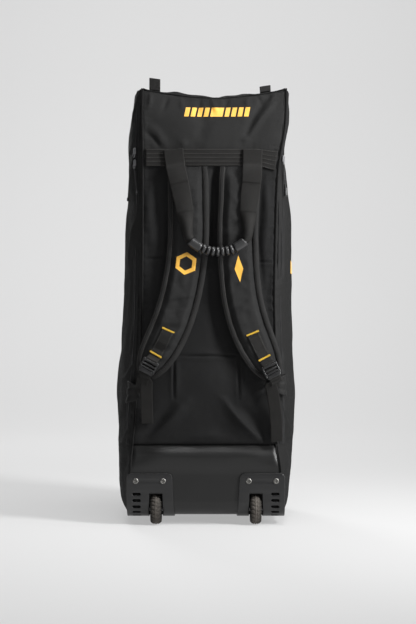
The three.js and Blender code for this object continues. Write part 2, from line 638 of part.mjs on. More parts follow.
// Sweep of a flat outline along sections. Each section has a centre c, a direction a across, a width w
// and a thickness t. The thickness grows towards n of the section that is named by its place in the list.
function sweep(sections, outline, facing = 0) {
  const outs = sections.map((s, k) => {
    const before = sections[Math.max(k - 1, 0)].c;
    const after = sections[Math.min(k + 1, sections.length - 1)].c;
    return V().crossVectors(after.clone().sub(before), s.a).normalize();
  });
  const sign = outs[facing].dot(sections[facing].n) < 0 ? -1 : 1;
  const rings = sections.map((s, k) =>
    outline.map(([p, q]) =>
      s.c.clone().addScaledVector(s.a, p * s.w).addScaledVector(outs[k], sign * q * s.t),
    ),
  );
  const count = outline.length;
  const faces = [];
  for (let r = 0; r < rings.length - 1; r++) {
    for (let k = 0; k < count; k++) {
      const [a, b] = [r * count + k, r * count + ((k + 1) % count)];
      faces.push([a, b, b + count], [a, b + count, a + count]);
    }
  }
  const last = (rings.length - 1) * count;
  for (let k = 1; k < count - 1; k++) {
    faces.push([0, k + 1, k], [last, last + k, last + k + 1]);
  }
  return closedGeometry(rings.flat(), faces);
}

const FLAT = [[-0.5, 0], [0.5, 0], [0.5, 1], [-0.5, 1]];
const PADDED = [
  [-0.45, 0], [0.45, 0], [0.5, 0.2], [0.5, 0.45], [0.42, 0.75], [0.24, 0.95],
  [0, 1], [-0.24, 0.95], [-0.42, 0.75], [-0.5, 0.45], [-0.5, 0.2],
];
const roundOutline = (sides) =>
  Array.from({ length: sides }, (_, k) => {
    const turn = (k / sides) * 2 * Math.PI;
    return [Math.cos(turn) / 2, Math.sin(turn) / 2];
  });

// Section over the back panel. "turn" is the direction across, in degrees from level.
function overBack(x, up, lift, turn, w, t) {
  const foot = backFoot(x, up);
  const beside = backFoot(x + WEB_WIDTH, up).point.sub(backFoot(x - WEB_WIDTH, up).point).normalize();
  const above = backFoot(x, up + WEB_WIDTH).point.sub(backFoot(x, up - WEB_WIDTH).point).normalize();
  const a = beside.multiplyScalar(Math.cos(radians(turn))).addScaledVector(above, Math.sin(radians(turn)));
  return { c: foot.point.addScaledVector(foot.normal, lift), a: a.normalize(), n: foot.normal, w, t };
}

// Turn of the direction across at a row of a middle line, square to the line.
function squareTurn(places, k) {
  const [x0, up0] = places[Math.max(k - 1, 0)];
  const [x1, up1] = places[Math.min(k + 1, places.length - 1)];
  return THREE.MathUtils.radToDeg(Math.atan2(up1 - up0, x1 - x0)) + 90;
}

const BAND_LOW = YOKE_HEIGHT - BAND_HEIGHT / 2;
const BAND_HIGH = YOKE_HEIGHT + BAND_HEIGHT / 2;

function strapSections(table) {
  const places = table.map((row) => [
    row.x * BODY_HALF_WIDTH,
    BAND_LOW - STRAP_START - row.down * STRAP_DROP,
  ]);
  return table.map((row, k) => {
    const lift = STRAP_LIFT + row.lift * BODY_DEPTH;
    const [x, up] = places[k];
    const turn = k === 0 ? 0 : squareTurn(places, k);
    return overBack(x, up, lift, turn, row.wide * STRAP_WIDTH, row.thick * STRAP_THICK);
  });
}

function handleSections() {
  const places = HANDLE.map((row) => [row.x * BODY_HALF_WIDTH, BAND_HIGH - row.down * HANDLE_DROP]);
  return HANDLE.map((row, k) => {
    const [x, up] = places[k];
    const wide = row.wide * HANDLE_WIDTH;
    const thick = row.thick * HANDLE_THICK;
    return overBack(x, up, row.lift * BODY_DEPTH, squareTurn(places, k), wide, thick);
  });
}

// Smooth course through a list of sections, at even steps.
function refine(sections, steps) {
  const middle = new THREE.CatmullRomCurve3(sections.map((s) => s.c), false, "centripetal");
  const last = sections.length - 1;
  return Array.from({ length: steps * last + 1 }, (_, k) => {
    const place = k / steps;
    const i = Math.min(Math.floor(place), last - 1);
    const f = place - i;
    const [from, to] = [sections[i], sections[i + 1]];
    return {
      c: middle.getPoint(k / (steps * last)),
      a: from.a.clone().lerp(to.a, f).normalize(),
      n: from.n.clone().lerp(to.n, f).normalize(),
      w: lerp(from.w, to.w, f),
      t: lerp(from.t, to.t, f),
    };
  });
}

// Haul grip: a ring swept along the handle's webbing, with finger grooves.
function gripGeometry(sections) {
  const middles = sections.map((s) => s.c.clone().addScaledVector(s.n, s.t / 2));
  const curve = new THREE.CatmullRomCurve3(middles, false, "centripetal");
  const length = curve.getLength();
  const middle = sections.findIndex((s) => s.c.z === Math.min(...sections.map((q) => q.c.z)));
  const centre = curve.getLengths(400)[Math.round((400 * middle) / (sections.length - 1))];
  const start = centre - GRIP_LENGTH / 2;
  const grooved = GRIP_GROOVES * GROOVE_PITCH;
  const stops = [[0, GRIP_END_SHARE], [GRIP_END, 1]];
  for (let k = 0; k < GRIP_GROOVES; k++) {
    const at = GRIP_LENGTH / 2 - grooved / 2 + (k + 0.5) * GROOVE_PITCH;
    stops.push([at - GROOVE_WIDTH / 2, 1]);
    stops.push([at, 1 - GROOVE_DEPTH / GRIP_RADIUS]);
    stops.push([at + GROOVE_WIDTH / 2, 1]);
  }
  stops.push([GRIP_LENGTH - GRIP_END, 1], [GRIP_LENGTH, GRIP_END_SHARE]);
  const sides = 10;
  const facing = sections[middle].n;
  const ring = (distance, radius) => {
    const place = THREE.MathUtils.clamp((start + distance) / length, 0, 1);
    const c = curve.getPointAt(place);
    const across = V().crossVectors(curve.getTangentAt(place), facing).normalize();
    return roundOutline(sides).map(([p, q]) =>
      c.clone().addScaledVector(across, 2 * p * radius).addScaledVector(facing, 2 * q * radius),
    );
  };
  const least = GRIP_BORE + GRIP_WALL;
  const outer = stops.map(([distance, share]) => ring(distance, Math.max(share * GRIP_RADIUS, least)));
  const inner = [];
  for (let k = 0; k <= 8; k++) inner.push(ring((1 - k / 8) * GRIP_LENGTH, GRIP_BORE));
  const rings = [...outer, ...inner];
  const faces = [];
  rings.forEach((_, r) => {
    for (let k = 0; k < sides; k++) {
      const [a, b] = [r * sides + k, r * sides + ((k + 1) % sides)];
      const next = ((r + 1) % rings.length) * sides;
      const [c, d] = [next + k, next + ((k + 1) % sides)];
      faces.push([a, b, d], [a, d, c]);
    }
  });
  return closedGeometry(rings.flat(), faces);
}

// Trim that follows a wall: a grid of places, lifted off its facets.
function wallTrim(wall, us, rowsUp, lift, thick) {
  const lifted = (height) =>
    rowsUp.map((row) =>
      us(row).map((u) => {
        const foot = facet(wall, u, row);
        return foot.point.addScaledVector(foot.normal, height);
      }),
    );
  return slab(lifted(lift + thick), lifted(lift));
}

function bandGeometry() {
  const rowsUp = [rowAt(BAND_LOW), YOKE_ROW, rowAt(BAND_HIGH)];
  const us = (row) => {
    const s = section(lerp(bodyRows[Math.floor(row)].up, BAND_HIGH, row % 1));
    const margin = BAND_END_MARGIN / (s.seamRight - s.seamLeft);
    return Array.from({ length: ACROSS + 1 }, (_, c) =>
      THREE.MathUtils.clamp(c / ACROSS, margin, 1 - margin),
    );
  };
  return wallTrim("back", us, rowsUp, TRIM_LIFT, BAND_THICK);
}

// Share of a gusset's width at a distance from the back seam.
const gussetShare = (wall, distance) =>
  wall === "right" ? distance / BODY_DEPTH : 1 - distance / BODY_DEPTH;

function zipStrip(wall, width, lift, thick) {
  const rowsUp = bodyRows.map((_, r) => r).slice(KICK_ROW, TOP_ROW);
  const near = gussetShare(wall, ZIP_SET_BACK - width / 2);
  const far = gussetShare(wall, ZIP_SET_BACK + width / 2);
  const us = () => [Math.min(near, far), Math.max(near, far)];
  return wallTrim(wall, us, rowsUp, lift, thick);
}

const COIL_LIFT = 2 * TRIM_LIFT + ZIP_TAPE_THICK;
const ZIP_TOP = COIL_LIFT + ZIP_COIL_THICK;

// Place over the zip. Its height is taken between two rows as the teeth's is, so they stay parallel.
function overGusset(wall, distance, up, lift, w, t) {
  const row = Math.min(rowAt(up), TOP_ROW - CLEARANCE);
  const low = Math.floor(row);
  const lifted = (away, r) => {
    const foot = facet(wall, gussetShare(wall, away), r);
    return foot.point.addScaledVector(foot.normal, lift);
  };
  const place = (away) => lifted(away, low).lerp(lifted(away, low + 1), row - low);
  const c = place(distance);
  const a = place(distance + ZIP_COIL_WIDTH / 2).sub(c).normalize();
  const n = facet(wall, gussetShare(wall, distance), low).normal;
  n.lerp(facet(wall, gussetShare(wall, distance), low + 1).normal, row - low).normalize();
  return { c, a, n, w, t };
}

// The slider bends where the teeth under it do, so it also has a section at each row there.
function sliderGeometry(pull) {
  const up = pull.v * BODY_HEIGHT;
  const lift = ZIP_TOP + SLIDER_LIFT;
  const ends = [0.5, 0.3, -0.3, -0.5];
  const apart = (end) => ends.every((other) => Math.abs(end - other) > 0.04);
  const rows = bodyRows.map((row) => (row.up - up) / SLIDER_LENGTH);
  const inside = rows.filter((end) => Math.abs(end) < 0.5 && apart(end));
  const share = (end) => 1 - (Math.max(Math.abs(end) - 0.3, 0) / 0.2) * (end > 0 ? 0.4 : 0.3);
  const sections = [...ends, ...inside].sort((a, b) => b - a).map((end) => {
    const width = share(end) * SLIDER_WIDTH;
    return overGusset(pull.wall, ZIP_SET_BACK, up + end * SLIDER_LENGTH, lift, width, SLIDER_THICK);
  });
  return sweep(sections, FLAT);
}

function pullSections(pull) {
  const top = pull.v * BODY_HEIGHT - SLIDER_LENGTH / 2 - CLEARANCE;
  const lift = ZIP_TOP + SLIDER_LIFT + PULL_RADIUS;
  return Array.from({ length: 7 }, (_, k) => {
    const share = k / 6;
    const distance = ZIP_SET_BACK + pull.drift * BODY_DEPTH * share ** 0.8;
    const up = top - share * pull.long * BODY_HEIGHT;
    return overGusset(pull.wall, distance, up, lift, 2 * PULL_RADIUS, 2 * PULL_RADIUS);
  });
}

function toggleGeometry(pull) {
  const end = pullSections(pull).at(-1);
  const geometry = new THREE.CapsuleGeometry(TOGGLE_RADIUS, TOGGLE_LENGTH - 2 * TOGGLE_RADIUS, 3, 10);
  const x = end.c.x + Math.sign(end.c.x) * (TOGGLE_RADIUS - PULL_RADIUS);
  return geometry.rotateX(Math.PI / 2).translate(x, end.c.y, end.c.z - TOGGLE_LENGTH / 2 - CLEARANCE);
}

// Cord piping outside the seam between the back and a gusset, from the wheel bracket up.
function pipingGeometry(column) {
  const line = grids.back
    .map((points, r) => ({ point: points[column === "left" ? 0 : ACROSS], up: bodyRows[r].up }))
    .filter((p) => p.up > BRACKET_HEIGHT + PIPING_RADIUS);
  const sections = line.map(({ point }) => {
    const out = inwardStep(point).normalize().negate();
    return {
      c: point.clone().addScaledVector(out, PIPING_RADIUS + CLEARANCE),
      a: V(out.y, -out.x, 0).normalize(),
      n: out,
      w: 2 * PIPING_RADIUS,
      t: 2 * PIPING_RADIUS,
    };
  });
  return sweep(sections, roundOutline(6));
}

// Small webbing tab standing on the top panel, just in front of the top edge.
function topTabGeometry(x, lean) {
  const s = section(BODY_HEIGHT);
  const u = (x - s.seamLeft) / (s.seamRight - s.seamLeft);
  const depth = s.front - s.back;
  const row = (TAB_SET_BACK / depth) * DEEP;
  const half = TAB_WIDTH / 2 / (s.seamRight - s.seamLeft);
  const foot = facet("top", u, row);
  const across = facet("top", u + half, row).point.sub(facet("top", u - half, row).point).normalize();
  const dir = V(0, Math.sin(radians(lean)), Math.cos(radians(lean)));
  const start = foot.point.addScaledVector(foot.normal, 1.5 * TRIM_LIFT);
  const n = V(0, -Math.cos(radians(lean)), Math.sin(radians(lean)));
  return sweep(
    [0, 0.5, 1].map((share) => ({
      c: start.clone().addScaledVector(dir, share * TAB_HEIGHT),
      a: across,
      n,
      w: TAB_WIDTH,
      t: TAB_THICK,
    })),
    FLAT,
  );
}

// Place on a strap's top face at a share of its length.
function onStrap(sections, share) {
  const place = share * (sections.length - 1);
  const i = Math.min(Math.floor(place), sections.length - 2);
  const f = place - i;
  const [from, to] = [sections[i], sections[i + 1]];
  const along = to.c.clone().sub(from.c).normalize();
  const n = from.n.clone().lerp(to.n, f).normalize();
  const c = from.c.clone().lerp(to.c, f).addScaledVector(n, lerp(from.t, to.t, f));
  const a = from.a.clone().lerp(to.a, f).normalize();
  return { c, a, n, along };
}

// Buckle frame: its middle, with "down" along the strap.
function lockFrame(strap, rig) {
  const place = onStrap(strap, rig.station);
  const n = V().crossVectors(place.a, place.along).normalize();
  if (n.dot(place.n) < 0) n.negate();
  return { c: place.c.addScaledVector(n, LOCK_LIFT), a: place.a, n, down: place.along };
}

function lockPlace(frame, step, w) {
  const c = frame.c.clone()
    .addScaledVector(frame.down, step.s * LOCK_LENGTH)
    .addScaledVector(frame.n, step.h * LOCK_THICK);
  return { c, a: frame.a, n: frame.n, w, t: WEB_THICK };
}

function lockGeometry(frame) {
  const half = LOCK_WIDTH / 2;
  const tall = LOCK_LENGTH / 2;
  const lip = WEB_WIDTH / 2;
  const shoulder = 0.7 * LOCK_LIP;
  const shape = new THREE.Shape();
  shape.moveTo(-half, tall - LOCK_CORNER);
  shape.lineTo(-half, -tall + shoulder);
  shape.lineTo(-lip, -tall + 1);
  shape.lineTo(-lip + 3, -tall);
  shape.lineTo(lip - 3, -tall);
  shape.lineTo(lip, -tall + 1);
  shape.lineTo(half, -tall + shoulder);
  shape.lineTo(half, tall - LOCK_CORNER);
  shape.lineTo(half - LOCK_CORNER, tall);
  shape.lineTo(-half + LOCK_CORNER, tall);
  shape.closePath();
  const slot = (LOCK_LENGTH - 2 * LOCK_BAR - LOCK_LIP) / 2;
  const slotHalf = WEB_WIDTH / 2 + LOCK_SLOT_ROOM;
  for (const top of [tall - LOCK_BAR, tall - 2 * LOCK_BAR - slot]) {
    const hole = new THREE.Path();
    hole.moveTo(-slotHalf, top);
    hole.lineTo(slotHalf, top);
    hole.lineTo(slotHalf, top - slot);
    hole.lineTo(-slotHalf, top - slot);
    hole.closePath();
    shape.holes.push(hole);
  }
  const geometry = new THREE.ExtrudeGeometry(shape, { depth: LOCK_THICK, bevelEnabled: false });
  const up = frame.down.clone().negate();
  const across = V().crossVectors(up, frame.n);
  const turn = new THREE.Matrix4().makeBasis(across, up, frame.n).setPosition(frame.c);
  return geometry.applyMatrix4(turn);
}

function patchGeometry(strap, rig, frame) {
  const length = strap.reduce((sum, s, k) => (k ? sum + s.c.distanceTo(strap[k - 1].c) : 0), 0);
  const end = rig.station - (0.8 * LOCK_LENGTH) / length;
  const start = end - PATCH_LENGTH / length;
  const sewn = [0, 0.25, 0.5, 0.75, 1].map((share) => {
    const place = onStrap(strap, lerp(start, end, share));
    place.c.addScaledVector(place.n, TRIM_LIFT);
    return { c: place.c, a: place.a, n: place.n, w: WEB_WIDTH, t: WEB_THICK };
  });
  return sweep([...sewn, ...PATCH_ROUTE.map((step) => lockPlace(frame, step, WEB_WIDTH))], FLAT);
}

// Anchor tab: from the gusset over the piping to the back, its tip sewn to the adjuster webbing.
function anchorSections(side, rig) {
  const wall = side < 0 ? "left" : "right";
  const up = BAND_LOW - rig.anchorDown * STRAP_DROP;
  const seam = side < 0 ? section(up).seamLeft : section(up).seamRight;
  const piping = 2 * PIPING_RADIUS + 5 * CLEARANCE;
  const above = backFoot(seam, up + TAB_ROOT_WIDTH / 2).point;
  const below = backFoot(seam, up - TAB_ROOT_WIDTH / 2).point;
  const corner = overBack(seam, up, 0, 90, 0, 0);
  corner.n = V(side, -1, 0).normalize();
  corner.c.addScaledVector(corner.n, piping + TRIM_LIFT);
  const reach = [
    overGusset(wall, TAB_TIP_WIDTH / 2, up, 3 * TRIM_LIFT, 0, 0),
    overGusset(wall, TAB_TIP_WIDTH / 4, up, piping, 0, 0),
    corner,
    overBack(seam - side * TAB_TIP_WIDTH / 4, up, piping, 90, 0, 0),
  ];
  return reach.map((s, k) => ({
    ...s,
    a: above.clone().sub(below).normalize(),
    w: lerp(TAB_ROOT_WIDTH, TAB_TIP_WIDTH, k / (reach.length - 1)),
    t: ANCHOR_THICK,
  }));
}

function adjusterGeometry(frame, rig, anchor) {
  const first = lockPlace(frame, ADJUSTER_ROUTE[0], WEB_WIDTH);
  const start = anchor.at(-1).c.clone();
  start.y = Math.min(...anchor.map((s) => s.c.y)) - ANCHOR_THICK - 2 * TRIM_LIFT;
  const ramp = [0, 0.2, 0.6].map((share) => ({
    ...first,
    c: start.clone().lerp(first.c, share),
  }));
  ramp[1].c.y = lerp(start.y, first.c.y, 0.1);
  const round = ADJUSTER_ROUTE.map((step) => lockPlace(frame, step, WEB_WIDTH));
  const tail = rig.tail.map((row) => {
    const up = BAND_LOW - row.down * STRAP_DROP;
    const s = overBack(row.x * BODY_HALF_WIDTH, up, row.lift * BODY_DEPTH, row.turn, WEB_WIDTH, WEB_THICK);
    if (s.a.dot(frame.a) < 0) s.a.negate();
    return s;
  });
  return sweep([...ramp, ...round, ...tail], FLAT, ramp.length + 1);
}

// Wheels, their brackets and the front feet
const AXLE_Y = WHEEL_SET_BACK - BACK_PLANE;
const AXLE_Z = WHEEL_RADIUS;
const SLOT_HALF = WHEEL_WIDTH / 2 + WHEEL_SIDE_ROOM;
const HOUSING_HALF = SLOT_HALF + HOUSING_WALL;
const ARCH_RADIUS = WHEEL_RADIUS + WHEEL_ROOM;

// Hollow round a wheel, as a cylinder over a box, open at the back and below.
function wheelRoom(side, half, radius, backY, lowZ) {
  const x = side * WHEEL_X;
  const top = AXLE_Z + radius;
  return toSolid(cylinderAlongX(radius, x - half, x + half, AXLE_Y, AXLE_Z, 20))
    .add(toSolid(box(x - half, x + half, AXLE_Y - radius, AXLE_Y + radius, lowZ, AXLE_Z)))
    .add(toSolid(box(x - half, x + half, backY, AXLE_Y, lowZ, top)));
}

// Outline in (y, z) of the lower back and base, a distance outside the panels.
function backOutline(distance) {
  const centreY = EDGE_RADIUS - BACK_PLANE;
  const centreZ = GROUND_GAP + EDGE_RADIUS;
  const radius = EDGE_RADIUS + distance;
  const points = [[-BACK_PLANE - distance, GROUND_GAP + BRACKET_HEIGHT]];
  for (let k = 0; k <= ROUND_STEPS; k++) {
    const turn = (k / ROUND_STEPS) * (Math.PI / 2);
    points.push([centreY - radius * Math.cos(turn), centreZ - radius * Math.sin(turn)]);
  }
  points.push([BRACKET_REACH - BACK_PLANE, GROUND_GAP - distance]);
  return points.map(([y, z]) => new THREE.Vector2(y, z));
}

function ventCutter(x, k) {
  const fall = GROUND_GAP + VENT_TOP - k * VENT_PITCH;
  const centreY = EDGE_RADIUS - BACK_PLANE;
  const centreZ = GROUND_GAP + EDGE_RADIUS;
  const radius = EDGE_RADIUS + BRACKET_THICK;
  const geometry = new THREE.BoxGeometry(VENT_LENGTH, 4 * BRACKET_THICK, VENT_HEIGHT);
  if (fall > centreZ) return geometry.translate(x, -BACK_PLANE, fall);
  geometry.translate(0, -radius, 0);
  return geometry.rotateX((centreZ - fall) / radius).translate(x, centreY, centreZ);
}

function screwHole(x) {
  const z = GROUND_GAP + SCREW_HEIGHT;
  const length = 8 * BRACKET_THICK;
  return new THREE.CylinderGeometry(SCREW_RADIUS + CLEARANCE, SCREW_RADIUS + CLEARANCE, length, 8)
    .translate(x, -BACK_PLANE, z);
}

function bracketGeometry(side) {
  const [fromX, toX] = side < 0
    ? [-BRACKET_OUTER_X, -BRACKET_INNER_X]
    : [BRACKET_INNER_X, BRACKET_OUTER_X];
  const outer = backOutline(CLEARANCE + BRACKET_THICK);
  const inner = backOutline(CLEARANCE);
  const plate = toSolid(prismAlongX(new THREE.Shape([...outer, ...inner.reverse()]), fromX, toX));
  const top = GROUND_GAP + BRACKET_HEIGHT;
  const face = new THREE.Shape();
  face.moveTo(fromX, 0);
  face.lineTo(fromX, top - BRACKET_CORNER);
  face.absarc(fromX + BRACKET_CORNER, top - BRACKET_CORNER, BRACKET_CORNER, Math.PI, Math.PI / 2, true);
  face.absarc(toX - BRACKET_CORNER, top - BRACKET_CORNER, BRACKET_CORNER, Math.PI / 2, 0, true);
  face.lineTo(toX, 0);
  face.closePath();
  const faceCut = toSolid(prismAlongY(face, -2 * BACK_PLANE, BACK_PLANE));
  const corner = new THREE.Vector2(BRACKET_REACH - BACK_PLANE, top);
  const within = [...backOutline(CLEARANCE + BRACKET_THICK / 2), corner];
  const inside = toSolid(prismAlongX(new THREE.Shape(within), fromX, toX));
  const housing = wheelRoom(side, HOUSING_HALF, ARCH_RADIUS + HOUSING_WALL, -2 * BACK_PLANE, 0);
  let solid = plate.intersect(faceCut).add(housing.intersect(inside));
  solid = solid.subtract(wheelRoom(side, SLOT_HALF, ARCH_RADIUS, -2 * BACK_PLANE, -GROUND_GAP));
  const axleX = side * WHEEL_X;
  const reach = 2 * HOUSING_HALF;
  const bore = AXLE_RADIUS + CLEARANCE;
  solid = solid.subtract(toSolid(cylinderAlongX(bore, axleX - reach, axleX + reach, AXLE_Y, AXLE_Z, 16)));
  for (const x of [SCREW_INNER_X, SCREW_OUTER_X]) solid = solid.subtract(toSolid(screwHole(side * x)));
  for (let k = 0; k < VENTS; k++) solid = solid.subtract(toSolid(ventCutter(side * VENT_X, k)));
  return fromSolid(solid);
}

// Panel with the wheel housings, and any screws, let through it.
function cutPanel(geometry, withScrews) {
  let solid = toSolid(geometry);
  for (const side of [-1, 1]) {
    const radius = ARCH_RADIUS + HOUSING_WALL + CLEARANCE;
    solid = solid.subtract(wheelRoom(side, HOUSING_HALF + CLEARANCE, radius, -2 * BACK_PLANE, 0));
    if (!withScrews) continue;
    for (const x of [SCREW_INNER_X, SCREW_OUTER_X]) solid = solid.subtract(toSolid(screwHole(side * x)));
  }
  return fromSolid(solid);
}

function screwGeometry() {
  const seat = CLEARANCE;
  const length = BRACKET_THICK + 2 * CLEARANCE + WALL + SCREW_POINT;
  const profile = [
    [0, -length], [SCREW_RADIUS, -length], [SCREW_RADIUS, seat], [SCREW_HEAD_RADIUS, seat],
    [SCREW_HEAD_RADIUS, seat + SCREW_HEAD_THICK / 2], [SCREW_HEAD_RADIUS * 0.6, seat + SCREW_HEAD_THICK],
    [0, seat + SCREW_HEAD_THICK],
  ].map(([r, y]) => new THREE.Vector2(r, y));
  return new THREE.LatheGeometry(profile, 12).rotateX(Math.PI);
}

function tyreGeometry() {
  const half = WHEEL_WIDTH / 2;
  const inner = WHEEL_RADIUS - TYRE_DEPTH;
  const shoulder = WHEEL_RADIUS - TYRE_SHOULDER;
  const tread = WHEEL_RADIUS - TREAD_CROWN;
  const profile = [
    [inner, -half * 0.85], [shoulder, -half], [tread, -half * 0.55], [WHEEL_RADIUS, 0],
    [tread, half * 0.55], [shoulder, half], [inner, half * 0.85], [inner, -half * 0.85],
  ].map(([r, y]) => new THREE.Vector2(r, y));
  return new THREE.LatheGeometry(profile, 28).rotateZ(Math.PI / 2);
}

function hubGeometry() {
  const half = WHEEL_WIDTH / 2;
  const bore = AXLE_RADIUS + CLEARANCE;
  const rim = WHEEL_RADIUS - TYRE_DEPTH - CLEARANCE;
  const profile = [
    [bore, -half], [HUB_FACE, -half], [rim, -half * 0.7], [rim, half * 0.7], [HUB_FACE, half],
    [bore, half], [bore, -half],
  ].map(([r, y]) => new THREE.Vector2(r, y));
  return new THREE.LatheGeometry(profile, 20).rotateZ(Math.PI / 2);
}

function footGeometry() {
  const [x, y] = [FOOT_LENGTH / 2, FOOT_DEPTH / 2];
  const shape = new THREE.Shape();
  shape.absarc(x - FOOT_CORNER, y - FOOT_CORNER, FOOT_CORNER, 0, Math.PI / 2);
  shape.absarc(-x + FOOT_CORNER, y - FOOT_CORNER, FOOT_CORNER, Math.PI / 2, Math.PI);
  shape.absarc(-x + FOOT_CORNER, -y + FOOT_CORNER, FOOT_CORNER, Math.PI, 1.5 * Math.PI);
  shape.absarc(x - FOOT_CORNER, -y + FOOT_CORNER, FOOT_CORNER, 1.5 * Math.PI, 2 * Math.PI);
  const depth = GROUND_GAP - CLEARANCE;
  return new THREE.ExtrudeGeometry(shape, { depth, bevelEnabled: false, curveSegments: 2 });
}

// Materials
const fabric = (color) => new THREE.MeshStandardMaterial({ color, roughness: 0.9, metalness: 0 });
const plastic = (color) => new THREE.MeshStandardMaterial({ color, roughness: 0.5, metalness: 0 });
const metal = (color) => new THREE.MeshStandardMaterial({ color, roughness: 0.35, metalness: 0.9 });
const MATERIALS = {
  canvas: fabric(0x26272a),
  coated: fabric(0x222326),
  padding: fabric(0x24262a),
  webbing: fabric(0x2b2a2b),
  trim: fabric(0x1c1d20),
  grip: plastic(0x232427),
  buckle: plastic(0x1b1c1e),
  bracket: plastic(0x2e3033),
  tyre: plastic(0x3c3a37),
  hub: plastic(0x26272a),
  screw: metal(0x3a3a3c),
  slider: metal(0x8d8f92),
  axle: metal(0x77797c),
};

// Assembly
const bag = new THREE.Group();

function add(name, geometry, material, place = V()) {
  const mesh = new THREE.Mesh(geometry, material.clone());
  mesh.name = name;
  mesh.position.copy(place);
  bag.add(mesh);
}

function addBody() {
  add("upper_back_panel", panel("back", YOKE_ROW, TOP_ROW), MATERIALS.canvas);
  add("back_panel", panel("back", KICK_ROW, YOKE_ROW), MATERIALS.padding);
  add("kick_panel", cutPanel(panel("back", 0, KICK_ROW), true), MATERIALS.coated);
  add("gusset_left", panel("left"), MATERIALS.canvas);
  add("gusset_right", panel("right"), MATERIALS.canvas);
  add("front_panel", panel("front"), MATERIALS.canvas);
  add("top_panel", panel("top"), MATERIALS.canvas);
  add("base_panel", cutPanel(panel("base"), false), MATERIALS.coated);
}

function addTrim() {
  add("piping_left", pipingGeometry("left"), MATERIALS.trim);
  add("piping_right", pipingGeometry("right"), MATERIALS.trim);
  add("reinforcement_band", bandGeometry(), MATERIALS.webbing);
  add("top_tab_left", topTabGeometry(TAB_LEFT_X, TAB_LEFT_LEAN), MATERIALS.webbing);
  add("top_tab_right", topTabGeometry(TAB_RIGHT_X, TAB_RIGHT_LEAN), MATERIALS.webbing);
}

function addZips() {
  for (const wall of ["left", "right"]) {
    add(`zip_tape_${wall}`, zipStrip(wall, ZIP_TAPE_WIDTH, TRIM_LIFT, ZIP_TAPE_THICK), MATERIALS.trim);
    add(`zip_coil_${wall}`, zipStrip(wall, ZIP_COIL_WIDTH, COIL_LIFT, ZIP_COIL_THICK), MATERIALS.trim);
  }
  for (const pull of PULLS) {
    add(`zip_slider_${pull.name}`, sliderGeometry(pull), MATERIALS.slider);
    add(`zip_pull_${pull.name}`, sweep(pullSections(pull), roundOutline(6)), MATERIALS.trim);
    if (pull.toggle) add(`zip_toggle_${pull.name}`, toggleGeometry(pull), MATERIALS.trim);
  }
}

function addHandle() {
  const sections = handleSections();
  add("haul_handle_webbing", sweep(refine(sections, 2), FLAT), MATERIALS.webbing);
  add("haul_handle_grip", gripGeometry(sections), MATERIALS.grip);
}

function addStrap(side, table, rig) {
  const name = side < 0 ? "left" : "right";
  const sections = refine(strapSections(table), 2);
  const frame = lockFrame(sections, rig);
  const anchor = anchorSections(side, rig);
  add(`shoulder_strap_${name}`, sweep(sections, PADDED), MATERIALS.padding);
  add(`strap_webbing_${name}`, patchGeometry(sections, rig, frame), MATERIALS.webbing);
  add(`ladder_lock_${name}`, lockGeometry(frame), MATERIALS.buckle);
  add(`adjuster_webbing_${name}`, adjusterGeometry(frame, rig, anchor), MATERIALS.webbing);
  add(`anchor_tab_${name}`, sweep(anchor, FLAT), MATERIALS.trim);
}

function addRunningGear(side) {
  const name = side < 0 ? "left" : "right";
  add(`wheel_bracket_${name}`, bracketGeometry(side), MATERIALS.bracket);
  const screwY = -BACK_PLANE - CLEARANCE - BRACKET_THICK;
  const screwZ = GROUND_GAP + SCREW_HEIGHT;
  add(`screw_${name}_inner`, screwGeometry(), MATERIALS.screw, V(side * SCREW_INNER_X, screwY, screwZ));
  add(`screw_${name}_outer`, screwGeometry(), MATERIALS.screw, V(side * SCREW_OUTER_X, screwY, screwZ));
  const reach = HOUSING_HALF + AXLE_STAND_OUT;
  const centre = V(side * WHEEL_X, AXLE_Y, AXLE_Z);
  add(`axle_${name}`, cylinderAlongX(AXLE_RADIUS, -reach, reach, 0, 0, 16), MATERIALS.axle, centre);
  add(`tyre_${name}`, tyreGeometry(), MATERIALS.tyre, centre);
  add(`hub_${name}`, hubGeometry(), MATERIALS.hub, centre);
  const frontY = section(0).front - FOOT_INSET - FOOT_DEPTH / 2;
  add(`front_foot_${name}`, footGeometry(), MATERIALS.bracket, V(side * FOOT_X, frontY, 0));
}

addBody();
addTrim();
addZips();
addHandle();
addStrap(-1, STRAP_LEFT, RIG_LEFT);
addStrap(1, STRAP_RIGHT, RIG_RIGHT);
addRunningGear(-1);
addRunningGear(1);

export default bag;
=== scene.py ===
"""A wheeled cricket kit bag standing on a pale floor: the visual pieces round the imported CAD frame."""
import math

import bmesh
import bpy
import numpy as np
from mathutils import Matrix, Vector


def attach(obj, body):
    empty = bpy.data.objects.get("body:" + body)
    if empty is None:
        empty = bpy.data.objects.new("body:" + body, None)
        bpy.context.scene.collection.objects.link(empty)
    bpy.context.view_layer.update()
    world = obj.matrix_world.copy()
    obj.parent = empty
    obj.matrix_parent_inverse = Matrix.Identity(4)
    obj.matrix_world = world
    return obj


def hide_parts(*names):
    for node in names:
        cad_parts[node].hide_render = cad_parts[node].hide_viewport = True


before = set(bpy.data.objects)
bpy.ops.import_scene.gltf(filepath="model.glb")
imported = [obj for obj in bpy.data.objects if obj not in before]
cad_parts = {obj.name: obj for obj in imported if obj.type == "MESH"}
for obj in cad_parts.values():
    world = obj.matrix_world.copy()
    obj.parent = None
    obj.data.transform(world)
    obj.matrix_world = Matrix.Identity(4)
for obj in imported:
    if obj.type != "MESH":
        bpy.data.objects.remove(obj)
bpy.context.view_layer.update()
MM = 0.001

